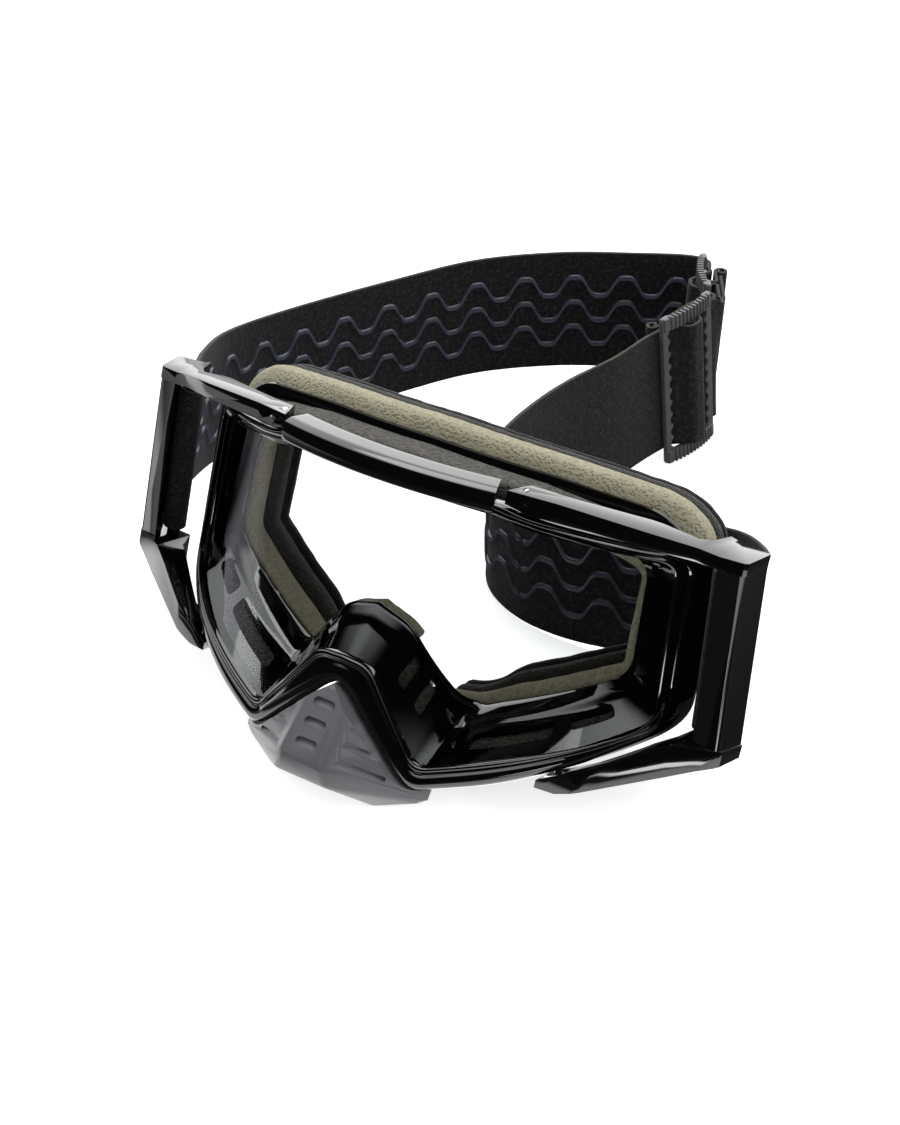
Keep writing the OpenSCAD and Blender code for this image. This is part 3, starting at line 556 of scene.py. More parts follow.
def slot_cutter(throat, s0, s1, t0, t1):
    """A block with a rounded-rectangle outline in station and share, carried through the wall."""
    a = throat.at([s0, s1], (t0 + t1) / 2)
    b = throat.at((s0 + s1) / 2, [t0, t1])
    wide, tall = np.linalg.norm(a[1] - a[0]), np.linalg.norm(b[1] - b[0])
    # rounded in millimetres, then put back into stations and shares
    scale = np.array([(s1 - s0) / wide, (t1 - t0) / tall])
    box = np.array([[s0, t0], [s0, t1], [s1, t1], [s1, t0]]) / scale
    box = np.column_stack([box, [min(1.6, 0.4 * min(wide, tall))] * 4])
    loop = trace(box, stations(box, 5, 1.5)) * scale
    return surface("slot", stand(np.stack([
        throat.at(loop[:, 0], loop[:, 1], d) for d in (-2.5, THROAT_T + 1.5)])))


# Stations and shares of the slots that show foam behind them, on the right and mirrored
SLOTS = ((24.75, 28.6, 0.3, 0.56), (21.5, 24.1, 0.32, 0.6),
         (36.18, 36.42, 0.42, 0.9), (36.62, 36.84, 0.42, 0.9))


class GOGGLES_OT_front_frame(bpy.types.Operator):
    """Builds the gloss front frame with its rolled rim, skirt and top bar"""

    bl_idname = "goggles.front_frame"
    bl_label = "Front frame"

    def execute(self, context):
        gloss = gloss_abs(context.scene.goggles_colours)
        rim = surface("front_rim", rim_grid(context.scene.goggles_sizes), along=True)
        whole = joined("front_rim_and_bar", [rim, surface("top_bar", bar_grid())])
        finish(whole, gloss, "goggles", ["front_frame"])
        return {"FINISHED"}


class GOGGLES_OT_face_frame(bpy.types.Operator):
    """Builds the inner moulding: the throat with its vent slots and ledge, and the foam flange"""

    bl_idname = "goggles.face_frame"
    bl_label = "Face frame"

    def execute(self, context):
        gloss = gloss_abs(context.scene.goggles_colours)
        throat = Throat(context.scene.goggles_sizes)
        moulding = surface("throat_and_flange", throat_grid(throat), along=True)
        cut(moulding, joined("slots", [
            slot_cutter(throat, *ends, t0, t1) for s0, s1, t0, t1 in SLOTS
            for ends in ((s0, s1), (TOTAL - s1, TOTAL - s0))]))
        smoothed(moulding.data, 38)
        finish(moulding, gloss, "goggles", ["face_frame"])
        return {"FINISHED"}


class GOGGLES_OT_lens(bpy.types.Operator):
    """Builds the clear lens, a sheet bent on a cylinder"""

    bl_idname = "goggles.lens"
    bl_label = "Lens"

    def execute(self, context):
        # the sheet reaches 0.7 mm under the rim; its rings run out over the front and back again
        edge = trace(inset(mirrored(APERTURE), -0.7), frame_keys(context.scene.goggles_sizes))
        centre = np.array([0, 12.0])
        out = np.linspace(0.02, 0.97, 20)
        shares = np.concatenate([out, [1, 1], out[::-1]])
        depths = np.concatenate([np.zeros(20), [0.1, LENS_T - 0.1], np.full(20, LENS_T)])
        rings = []
        for share, depth in zip(shares, depths):
            xz = centre + (edge - centre) * share
            y = LENS_Y + depth + curve_y(LENS_R, xz[:, 0])
            rings.append(np.stack([xz[:, 0], y, xz[:, 1]], -1))
        lens = surface("lens_sheet", stand(np.stack(rings)))
        finish(lens, clear_polycarbonate(), "goggles", ["lens"])
        return {"FINISHED"}


# Outriggers: the corner that the posts stand on, their tip and splay, and the strap bar in a
# post's own axes

POST_CORNER = np.array([92, 26.9, 37.9])
POST_TIP, POST_SPLAY = math.radians(7.8), math.radians(3.9)
STRAP_BAR = np.array([-7.5, 6.9])

def post_place(p):
    """Points of the post's own axes in the frame's axes: tipped forward and leant inward."""
    p = np.asarray(p, float)
    y = p[..., 1] * math.cos(POST_TIP) - p[..., 2] * math.sin(POST_TIP)
    z = p[..., 1] * math.sin(POST_TIP) + p[..., 2] * math.cos(POST_TIP)
    x = p[..., 0] * math.cos(POST_SPLAY) - z * math.sin(POST_SPLAY)
    z = p[..., 0] * math.sin(POST_SPLAY) + z * math.cos(POST_SPLAY)
    return POST_CORNER + np.stack([x, y, z], -1)


class GOGGLES_OT_outriggers(bpy.types.Operator):
    """Builds both outriggers: crisp arms, posts and strap bars with rounded edges"""

    bl_idname = "goggles.outriggers"
    bl_label = "Outriggers"

    def execute(self, context):
        gloss = gloss_abs(context.scene.goggles_colours)
        for side in ("right", "left"):
            obj = copied("outrigger_" + side, "outrigger_moulding_" + side)
            bevel(obj, context.scene.goggles_sizes.bevel, 3, 20)
            finish(obj, gloss, side + "_outrigger", ["outrigger_" + side])
        return {"FINISHED"}


class GOGGLES_OT_hinge_pins(bpy.types.Operator):
    """Gives the hinge pins their steel"""

    bl_idname = "goggles.hinge_pins"
    bl_label = "Hinge pins"

    def execute(self, context):
        steel = ground_steel(context.scene.goggles_colours)
        for side in ("right", "left"):
            pins = NODES["hinge_pins_" + side]
            pins.data.materials.clear()
            pins.data.materials.append(steel)
        return {"FINISHED"}


# Nose guard

# Rounding of its edges in metres; right-hand corners of its facets and of the hollow behind them;
# and the slots pressed into the middle facet and the side facets: one end, the other end, and
# half the width
GUARD_ROUNDING = 0.0009
GUARD = [[5.4, -4.2, -20], [6.2, -15.2, -38.8], [8, -12.6, -44.6], [17, 1, -50.6], [30, 6, -46],
         [30.5, 7, -40], [5, 4, -19], [17, 9, -46]]
HOLLOW = [[3.4, 2, -20], [3.8, -10.4, -37.6], [5.4, -8, -43.2], [14.6, 4, -52], [27, 10, -50],
          [27.4, 14, -38], [3, 14, -17], [14.6, 14, -52]]
MIDDLE_SLOTS = [[[-2.2, z], [2.2, z], 1.15] for z in (-24.4, -29.4, -34.4)]
SIDE_SLOTS = [[[9.4, -28.6], [13.6, -30.2], 0.85], [[9.6, -32.8], [16.4, -35.2], 0.85],
              [[9.8, -37.0], [19.4, -40.2], 0.85]]


def hull_of(corners, name):
    """The convex solid round a set of right-hand corners and their mirror images."""
    work = bmesh.new()
    for side in (1, -1):
        for p in stand(np.array(corners) * [side, 1, 1]):
            work.verts.new(p)
    bmesh.ops.convex_hull(work, input=work.verts)
    dissolved(work, 0.5)
    return filled(name, work)


def pressed_slot(a, b, r, plane, depth):
    """A slot cutter: a capsule outline about the line from a to b in X and Z, from well in front
    of the plane through three points to the given depth behind it."""
    a, b = np.array(a, float), np.array(b, float)
    along = unit(b - a)
    out = np.array([-along[1], along[0]])
    t = np.linspace(-math.pi / 2, math.pi / 2, 9)[:, None]
    cap = r * (np.cos(t) * along + np.sin(t) * out)
    loop = np.concatenate([b + cap, a - cap])
    p = np.array(plane, float)
    n = np.cross(p[1] - p[0], p[2] - p[0])
    y = p[0, 1] - ((loop - p[0, [0, 2]]) @ n[[0, 2]]) / n[1]
    rows = [np.stack([loop[:, 0], y + d, loop[:, 1]], -1) for d in (-6, depth)]
    return surface("slot", stand(np.stack(rows)))


class GOGGLES_OT_nose_guard(bpy.types.Operator):
    """Builds the matt nose guard: facets, the hollow behind them and the slots pressed in"""

    bl_idname = "goggles.nose_guard"
    bl_label = "Nose guard"

    def execute(self, context):
        guard = hull_of(GUARD, "nose_guard_moulding")
        bevel(guard, GUARD_ROUNDING, 4, 12)
        applied(guard)
        cut(guard, hull_of(HOLLOW, "hollow"))
        # room for the frame, 0.35 mm round it
        outer = inset(mirrored(OUTER), -0.35)
        loop = trace(outer, stations(outer, context.scene.goggles_sizes.corner_steps, 4.0))
        rows = [np.stack([loop[:, 0], np.full(len(loop), y), loop[:, 1]], -1) for y in (-30, 60)]
        cut(guard, surface("frame_space", stand(np.stack(rows))))
        middle = np.array([GUARD[0], GUARD[1], GUARD[0]]) * [[1, 1, 1], [1, 1, 1], [-1, 1, 1]]
        slots = [pressed_slot(*slot, middle, 1.3) for slot in MIDDLE_SLOTS]
        for side in (1, -1):
            facet = np.array([GUARD[0], GUARD[1], GUARD[5]]) * [side, 1, 1]
            slots += [pressed_slot([side * a[0], a[1]], [side * b[0], b[1]], r, facet, 1.2)
                      for a, b, r in SIDE_SLOTS]
        cut(guard, joined("slots", slots))
        smoothed(guard.data, 28)
        finish(guard, spark_abs(context.scene.goggles_colours), "guard",
               ["nose_guard"])
        return {"FINISHED"}


# Foam

FOAM_KEYS = stations(mirrored(FOAM_OUTER), 8, 2.5, closed=False)
FOAM_FADE = 24
# Each layer's name, slot, node and thickness, how far its outer and inner outline move in, how
# far its sides bulge, its unevenness, and its share of padding
LAYERS = (("base_foam", "base_foam", "face_foam_base", BASE_T, -2.2, 2.6, 0.06, 0.12, 0.9),
          ("middle_foam", "mid_foam", "face_foam_mid", MID_T, -1.6, 5.2, 0.05, 0.1, 0.85),
          ("fleece_layer", "fleece", "face_fleece", FLEECE_T, -1.2, 6.2, 0.06, 0.12, 0.8))
# The nose pad: its first station, its depth, and how far it reaches past the throat's wall
PAD_START, PAD_DEEP, PAD_OUT = 37, 4.0, 1.2


def foam_outline(half, move):
    """An open foam outline from one nose end over the top to the other, moved in by move. The
    move fades out over the last FOAM_FADE mm at each end, where the outline turns up the nose."""
    p = trace(mirrored(half), FOAM_KEYS, closed=False)
    ahead = unit(np.gradient(p, axis=0))
    along = walked(p)
    share = np.clip(np.minimum(along, along[-1] - along) / FOAM_FADE, 0, 1)
    share = (share * share * (3 - 2 * share))[:, None]
    return p + np.stack([-ahead[:, 1], ahead[:, 0]], 1) * move * share


def foam_ring(y0, t, edge, hole, bulge, rough):
    """A foam layer: at each station a rounded section between the outer and inner outline, its
    sides swollen by bulge and its surface a little uneven. The ends close beside the nose."""
    outer, inner = foam_outline(FOAM_OUTER, edge), foam_outline(FOAM_INNER, hole)
    u, v = rounded_box(36, 0.42)
    u = u + np.sign(u) * bulge * np.maximum(0, np.cos(v * math.pi / 2)) * (np.abs(u) > 0.9)
    u, v = (w[None] * tapered(len(outer), 0.55)[:, None] for w in (u, v))
    xz = (outer + inner)[:, None] / 2 + (outer - inner)[:, None] / 2 * u[..., None]
    y = y0 + t / 2 + curve_y(FACE_R, xz[..., 0]) + t / 2 * v
    return stand(uneven(np.stack([xz[..., 0], y, xz[..., 1]], -1), 7.0, rough, y0))


def lifted(p):
    """Points kept on or above the ground."""
    p[..., 2] = np.maximum(p[..., 2], 0)
    return p


class GOGGLES_OT_face_foam(bpy.types.Operator):
    """Builds the three layers of face foam and the nose pad"""

    bl_idname = "goggles.face_foam"
    bl_label = "Face foam"

    def execute(self, context):
        colours, sizes = context.scene.goggles_colours, context.scene.goggles_sizes
        pale = open_cell_foam("Open-cell polyurethane foam, beige", colours.foam_pale,
                              sizes.foam_cell, 0.55)
        dark = open_cell_foam("Open-cell polyurethane foam, dark", colours.foam_dark,
                              sizes.foam_cell, 0.8)
        y = FLANGE_Y + FLANGE_T + SEAT
        for look, (name, slot, node, t, edge, hole, bulge, rough, fill) in zip(
                (pale, dark, napped_fleece(colours)), LAYERS):
            layer = surface(name, lifted(foam_ring(y, t, edge, hole, bulge, rough)))
            finish(layer, look, "goggles", [node])
            y += t + BOND
        throat = Throat(sizes)
        s = np.linspace(PAD_START, TOTAL - PAD_START, 61)
        h = FLANGE_T / 2 + SEAT
        inner, outer = throat.at(s, 1.0, 0.0), throat.at(s, 1.0, THROAT_T + PAD_OUT)
        pad = surface("nose_pad", foam_strip(inner, outer, h, h + PAD_DEEP, 0.1))
        finish(pad, pale, "goggles", ["nose_foam"])
        return {"FINISHED"}


def foam_strip(inner, outer, near, far, rough):
    """A strip whose section at each station is a rounded box between an inner and an outer point
    and between two depths behind them."""
    u, v = (w[None, :, None] * tapered(len(inner), 0.6)[:, None, None]
            for w in rounded_box(28, 0.45))
    middle = (inner + outer) / 2 + [0, (near + far) / 2, 0]
    deep = np.array([0, (far - near) / 2, 0])
    p = middle[:, None] + ((outer - inner) / 2)[:, None] * u + deep * v
    return stand(uneven(p, 5.0, rough))


# Vent strips on the outside of the throat: node, stations, shares of the depth, gap, thickness
VENTS = (("top_vent_foam", -10.0, 10.0, 0.3, 0.96, SEAT, 5.4),
         ("corner_vent_foam_right", 10.4, 14.0, 0.34, 0.9, SEAT, 5.2),
         ("bottom_vent_foam_right", 21.0, 29.0, 0.24, 0.64, 2.4 * SEAT, 2.6),
         ("nose_vent_foam_right", 35.9, 39.0, 0.3, 0.96, 1.8 * SEAT, 2.6))


class GOGGLES_OT_vent_foam(bpy.types.Operator):
    """Builds the strips of coarse foam behind the frame's vents"""

    bl_idname = "goggles.vent_foam"
    bl_label = "Vent foam"

    def execute(self, context):
        scene = context.scene
        coarse = open_cell_foam("Reticulated polyurethane foam", scene.goggles_colours.vent,
                                scene.goggles_sizes.vent_cell, 1.0)
        throat = Throat(scene.goggles_sizes)
        u, v = ((0.5 + 0.5 * w)[None, :, None] for w in rounded_box(36, 0.35))
        left = [(node.replace("right", "left"), TOTAL - s1, TOTAL - s0, *rest)
                for node, s0, s1, *rest in VENTS[1:]]
        for node, s0, s1, t0, t1, gap, thick in [*VENTS, *left]:
            s = np.linspace(s0, s1, 61)
            under, over = (
                throat.at(s, t0, d)[:, None] * (1 - u) + throat.at(s, t1, d)[:, None] * u
                for d in (THROAT_T + gap, THROAT_T + gap + thick))
            p = under * (1 - v) + over * v
            ends = p[[0, -1]].mean(1, keepdims=True)
            p[[0, -1]] = ends + (p[[0, -1]] - ends) * 0.8
            strip = surface(node + "_strip", stand(uneven(p, 4.0, 0.12, s0)))
            finish(strip, coarse, "goggles", [node])
        return {"FINISHED"}


# Strap: an elastic band laid through two adjusters, with grip beads along its inside

# The middle of a band's width on its strap bar, how far its sewn end reaches, that end's
# thickness and the strap bar's radius
STRAP_MID, END_LEN, END_T, STRAP_BAR_R = -27.0, 10.0, STRAP_T - 0.45, 2.0
LEFT_DIR, RIGHT_DIR = unit(np.array([0.6, 0.8])), unit(np.array([0.06, 1.0]))
# An adjuster's place on the ground, its turn, its tip and how far it leans over
BACK_REST, FRONT_REST = (-3.4, 222.6, -61.0, 0.0, 0.0), (8.5, 196.4, 76.2, 5.1, 4.9)
# Depths in an adjuster: its middle bar, the band in front of it and beside it, and the free end
SLIDE_MIDDLE, BULGE, RUN, TAIL = -0.8, -4.7, 2.1, 4.95
WEAVE = [[-11, RUN], [-8.8, RUN + 0.2], [-4.9, (RUN + BULGE) / 2], [-2.4, BULGE + 0.4], [0, BULGE],
         [2.4, BULGE + 0.4], [4.9, (RUN + BULGE) / 2], [8.8, RUN + 0.2], [11, RUN]]
BEAD_PITCH, BEAD_SWING, BEAD_WAVE = 9.6, 4.0, 18.0


def at_adjuster(a, p):
    """Ground places of points given in an adjuster's own axes."""
    p = np.asarray(p, float)
    turn, tip, over = (math.radians(v) for v in a[2:])
    y = p[..., 1] * math.cos(over) + p[..., 2] * math.sin(over)
    z = p[..., 2] * math.cos(over) - p[..., 1] * math.sin(over)
    u = p[..., 0] * math.cos(tip) - z * math.sin(tip)
    lift = SLIDE_L / 2 * math.sin(tip) + 3 * math.sin(over)
    return np.stack([a[0] + u * math.cos(turn) - y * math.sin(turn),
                     a[1] + u * math.sin(turn) + y * math.cos(turn),
                     lift + p[..., 0] * math.sin(tip) + z * math.cos(tip)], -1)


def on_adjuster(a, p):
    """A route's point where an adjuster holds the band: place, lean towards +Y and +X, and 0."""
    u = at_adjuster(a, [0, 0, 1]) - at_adjuster(a, [0, 0, 0])
    return [*at_adjuster(a, [p[0], p[1], SLIDE_H / 2]), math.degrees(math.asin(u[1])),
            math.degrees(math.asin(u[0])), 0]


def stood(p):
    """Ground place of a point in the frame's own axes, in millimetres."""
    return stand(p) * 1000 + ORIGIN


def end_point(side, way):
    """Where the band leaves its end, which is sewn round an outrigger's strap bar."""
    q = stood(post_place([*(STRAP_BAR + way * END_LEN), STRAP_MID]))
    up = stood(post_place([0, 0, 1])) - stood(POST_CORNER)
    return [side * q[0], q[1], q[2], math.degrees(math.atan2(up[1], up[2])),
            side * math.degrees(math.atan2(up[0], up[2])), 0]


def free(points):
    """Points of a route where nothing holds the band's slope."""
    return [[*p, 1] for p in points]


# Each band's route: place, lean towards +Y and +X in degrees, and 1 where its slope is free
ROUTES = {
    "left": [end_point(-1, LEFT_DIR)] + free([
        [-107, 72, 37.6, 10, 3], [-115.2, 100, 30.5, 6, 1], [-109.6, 134, 26.5, 1, 0],
        [-94, 171, 25.4, 0, 0], [-78.4, 198, 25.6, 0, 0], [-57, 218, 26, 0, 0],
        [-34, 230.6, 26.8, 0, 0], [-18, 238.4, 27.2, 0, 0]]) + [
        on_adjuster(BACK_REST, p) for p in [[-17, RUN]] + WEAVE + [[13.4, RUN - 0.1]]] + [
        on_adjuster(FRONT_REST, p) for p in ([14, TAIL + 0.2], [11.4, TAIL])],
    "right": [end_point(1, RIGHT_DIR)] + free([
        [87.4, 61, 39.6, 13, -2], [81, 71, 36, 10, 0], [71.6, 78.6, 32.2, 6, 0],
        [58, 81.6, 28.6, 3, 0], [42, 79.6, 25.6, 1, 0], [24, 77.6, 24, 0, 0],
        [8, 79.4, 23.6, 0, 0], [-6, 87, 23.4, 0, 0], [-14, 99, 23.4, 0, 0],
        [-15.6, 112, 23.6, 0, 0], [-14.4, 128, 24, 0, -1], [-10.6, 144, 24.8, 0, -3],
        [-4.6, 162, 25.8, 0, -4]]) + [
        on_adjuster(FRONT_REST, p) for p in [[-18, RUN + 0.5]] + WEAVE + [[15.6, RUN - 0.6]]] + [
        on_adjuster(BACK_REST, p) for p in ([14.4, TAIL - 0.4], [11.4, TAIL])]}


class Band:
    """A band's middle line as a Catmull-Rom curve through its route, with the direction up its
    width and the one across its thickness at each length along it."""

    steps = 8

    def __init__(self, route):
        rows = spline(route, self.steps)
        self.place = rows[:, :3]
        ahead = unit(np.concatenate([rows[1:2, :3] - rows[:1, :3], rows[2:, :3] - rows[:-2, :3],
                                     rows[-1:, :3] - rows[-2:-1, :3]]))
        lean_y, lean_x = np.radians(rows[:, 3]), np.radians(rows[:, 4])
        up = np.stack([np.sin(lean_x), np.sin(lean_y), np.cos(lean_y)], 1)
        held = (up * ahead).sum(1, keepdims=True) * rows[:, 5:6]
        self.up = unit(up - held * ahead)
        self.side = unit(np.cross(self.up, ahead))
        self.length = walked(self.place)

    def at(self, i):
        """Length along the band at point i of its route, which may lie between two points."""
        return float(np.interp(i * self.steps, np.arange(len(self.length)), self.length))

    def read(self, s):
        """Place, upward and sideways directions at lengths s."""
        return [np.stack([np.interp(s, self.length, v[:, k]) for k in range(3)], -1)
                for v in (self.place, self.up, self.side)]

    def rows(self, first, last, step=2.0):
        """Lengths from first to last at the curve's own points, and no further apart than step."""
        own = self.length[(self.length > first) & (self.length < last)]
        even = np.linspace(first, last, int(math.ceil((last - first) / step)) + 1)
        s = np.sort(np.concatenate([own, even]))
        return s[np.concatenate([[True], np.diff(s) > 0.15])]


def ribbon(name, line, length, thick, inside=0):
    """A closed ribbon as wide as the strap about a line of places with directions up its width
    and across its thickness. UV holds the metres across and along; the attributes are edge, 1 at
    its long edges, and inside, 1 on the face with the grip beads (inside: -1 or 1, 0 for none)."""
    h, t = STRAP_W / 2, thick / 2
    corners = np.array([[-h, -t], [-h, t], [h, t], [h, -t]])
    loop = np.column_stack([corners, np.full(4, t * 0.8)])
    across, out = trace(loop, stations(loop, 4, 1.8)).T
    soft = ripple(line[0][:, None] + across[None, :, None] * 0.6, 9.0) * 0.05
    grid = beside(line, across, out[None] + np.sign(out)[None] * soft)
    uv = np.stack(np.broadcast_arrays(across[None] / 1000, length[:, None] / 1000), -1)
    edge = np.clip((np.abs(across) - (h - 0.4)) / 0.3, 0, 1) \
        * np.clip(1.5 - np.abs(out) / t * 1.6, 0, 1)
    return surface(name, lay(grid), uv=uv, values={"edge": edge, "inside": out * inside > 0})


def bead_line(name, band, face, first, last, wide, high):
    """Three wavy grip beads along a band: rows of half-round section whose middle lines swing
    as a sine along the band. Their ends run out to nothing."""
    s = np.arange(first, last, 0.9)
    line = band.read(s)
    turn = 2 * math.pi * s / BEAD_WAVE
    swing = BEAD_SWING * (np.sin(turn) + 0.12 * np.sin(3 * turn))
    end = np.sqrt(np.clip(np.minimum(s - first, last - s) / 0.9, 0.02, 1))[:, None]
    a = np.linspace(-math.pi / 2, math.pi / 2, 11)[None]
    out = STRAP_T / 2 - 0.15 + (high * np.cos(a) + 0.1 * (np.abs(a) < 1.5)) * end
    return joined(name, [
        surface(name, lay(beside(line, (row * BEAD_PITCH + swing)[:, None]
                                 + wide / 2 * np.sin(a) * end, face * out)))
        for row in (-1, 0, 1)])


# Stretches of each band between places that stand still: name, first and last point of the
# route, the bodies before and after, and where the blend between them starts and ends
STRETCHES = {
    "left": (("outer", 0, 4, "left_outrigger", "goggles", 0.2, 3.0),
             ("middle", 4, 14, "goggles", "back_adjuster", 5.0, 9.0),
             ("fold", 14, 19.5, "back_adjuster", "goggles", 18.2, 19.5),
             ("tail", 19.5, 21, "goggles", "front_adjuster", 19.5, 20.2)),
    "right": (("outer", 0, 7, "right_outrigger", "goggles", 0.2, 3.0),
              ("middle", 7, 19, "goggles", "front_adjuster", 8.0, 14.0),
              ("fold", 19, 24.5, "front_adjuster", "goggles", 23.2, 24.5),
              ("tail", 24.5, 26, "goggles", "back_adjuster", 24.5, 25.2))}
# The face that carries the beads, and the lengths between which they run
BEADED = {"left": (-1, 9.0, 9.0), "right": (1, 7.0, 13.6)}


def blend_ends(band, j0, j1):
    """Two points on a stretch: both on the band's middle line, the second moved along the band's
    width until it lies square across from the first."""
    middle, up, _ = band.read(np.array([band.at(j0), band.at(j1)]))
    start, end = lay(middle)
    width = unit(lay(middle[0] + up[0]) - start)
    return start, end - width * ((end - start) @ width)


class GOGGLES_OT_strap(bpy.types.Operator):
    """Builds both straps, each in stretches along its route"""

    bl_idname = "goggles.strap"
    bl_label = "Straps"

    def execute(self, context):
        elastic = woven_elastic(context.scene.goggles_colours, context.scene.goggles_sizes.weave)
        for side, bar, other in (("left", "adjuster_back", "adjuster_front"),
                                 ("right", "adjuster_front", "adjuster_back")):
            band, made = Band(ROUTES[side]), []
            for part, i0, i1, a, b, j0, j1 in STRETCHES[side]:
                s = band.rows(band.at(i0), band.at(i1))
                piece = ribbon("strap_%s_%s" % (side, part), band.read(s), s, STRAP_T,
                               BEADED[side][0])
                finish(piece, elastic, None, ["strap_" + side])
                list(blend_ends(band, j0, j1))
                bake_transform(piece)
                made.append((piece, (s[-1] - s[0]) / 1000))
        return {"FINISHED"}


class GOGGLES_OT_grip_beads(bpy.types.Operator):
    """Builds the wavy silicone grip beads on the inside of both straps"""

    bl_idname = "goggles.grip_beads"
    bl_label = "Grip beads"

    def execute(self, context):
        silicone = silicone_rubber(context.scene.goggles_colours)
        sizes = context.scene.goggles_sizes
        for side, (face, first, last_point) in BEADED.items():
            band = Band(ROUTES[side])
            last = band.at(last_point)
            for part, i0, i1, a, b, j0, j1 in STRETCHES[side][:2]:
                s0, s1 = max(first, band.at(i0)), min(last, band.at(i1))
                beads = bead_line("grip_beads_%s_%s" % (side, part), band, face, s0, s1,
                                  sizes.bead_width * 1000, sizes.bead_height * 1000)
                finish(beads, silicone, None, ["grip_beads_" + side])
                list(blend_ends(band, j0, j1))
                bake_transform(beads)
        return {"FINISHED"}


def turn_points(centre, radius, start, end, count):
    """Points of an arc between two angles in degrees."""
    a = np.radians(np.linspace(start, end, count))
    return np.stack([centre[0] + radius * np.cos(a), centre[1] + radius * np.sin(a)], 1)


def folded_band(name, line, place, low):
    """A band end folded along a line in plan: the line's points and its normals are put in place
    by the given function, and the band's width runs along that function's Z from low."""
    line = line[np.append(True, np.linalg.norm(np.diff(line, axis=0), axis=1) > 0.05)]
    way = unit(np.gradient(line, axis=0))
    normal = np.stack([-way[:, 1], way[:, 0]], 1)
    z = np.full((len(line), 1), low + STRAP_W / 2)
    middle = place(np.hstack([line, z]))
    up = unit(place(np.hstack([line, z + 1])) - middle)
    side = unit(place(np.hstack([line + normal, z])) - middle)
    length = walked(line)
    return ribbon(name, (middle, up, side), length, END_T), length[-1]


def straight(x0, x1, count, y):
    """Points of a line along X at a height y."""
    return np.stack([np.linspace(x0, x1, count), np.full(count, y)], 1)


def hem_line():
    """The sewn end on an adjuster: rolled hem, along the lower layer, down the stem, round the
    bar, back, and over."""
    t = STRAP_T / 2
    low = TAIL - t
    a = np.radians(np.linspace(-500, -90, 64))
    hem = np.linspace(0.9, 2.1, 64)[:, None] * np.stack([np.cos(a), np.sin(a)], 1)
    return np.concatenate([
        np.array([-9, TAIL + 2.9 - STRAP_T]) + hem, straight(-8, -2.2, 6, low),
        turn_points((-t - 1.2, low - 1.2), 1.2, 90, 0, 6),
        turn_points((0, SLIDE_MIDDLE), SLIDE_PIN_R + 0.1 + t, 155, 385, 20),
        turn_points((t + 1.2, low - 1.2), 1.2, 180, 90, 6), straight(2.6, 9.6, 8, low),
        turn_points((10.2, TAIL), t, -90, 90, 8), straight(9.4, -5.2, 16, TAIL + t)])


def loop_line(way):
    """The sewn loop round an outrigger's strap bar, which the band leaves in the direction way."""
    t = STRAP_T / 2
    across = np.array([-way[1], way[0]])
    loop = STRAP_BAR_R + 0.1 + t
    wrap = math.degrees(math.asin(t / loop))
    turn = math.degrees(math.atan2(way[1], way[0]))
    start = np.linspace(END_LEN - 0.6, loop + 1.2, 6)[:, None]
    return np.concatenate([
        STRAP_BAR + start * way + t * across,
        turn_points(STRAP_BAR, loop, turn + wrap + 8, turn + 352 - wrap, 28),
        STRAP_BAR + start[::-1] * way - t * across])


class GOGGLES_OT_sewn_ends(bpy.types.Operator):
    """Builds the bands' ends: looped and rolled at the adjusters, and looped at the outriggers"""

    bl_idname = "goggles.sewn_ends"
    bl_label = "Sewn ends"

    def execute(self, context):
        elastic = woven_elastic(context.scene.goggles_colours, context.scene.goggles_sizes.weave)
        for name, rest in (("back", BACK_REST), ("front", FRONT_REST)):
            piece, length_mm = folded_band("sewn_hem_" + name, hem_line(),
                                           partial(at_adjuster, rest), (SLIDE_H - STRAP_W) / 2)
            finish(piece, elastic, name + "_adjuster", ["sewn_end_" + name])
        for name, side, way in (("left", -1, LEFT_DIR), ("right", 1, RIGHT_DIR)):
            def place(p, side=side):
                return stood(post_place(p)) * [side, 1, 1]
            piece, length_mm = folded_band("strap_loop_" + name, loop_line(way), place,
                                           STRAP_MID - STRAP_W / 2)
            finish(piece, elastic, name + "_outrigger", ["strap_end_" + name])
        return {"FINISHED"}


# Ten round scallops bite into a bar's inner edge: their radius, and how far their centres lie
# outside it. Ribs across the arched ends: their pitch and height.
SCALLOPS, SCALLOP_R, SCALLOP_OUT = 10, 1.9, 0.76
RIB_PITCH, RIB_HIGH = 1.7, 0.55


def boxed(x0, x1, y0, y1, r):
    """Points round a rectangle with rounded corners."""
    loop = np.array([[x0, y0, r[0]], [x1, y0, r[0]], [x1, y1, r[1]], [x0, y1, r[1]]])
    return trace(loop, stations(loop, 4, 100))


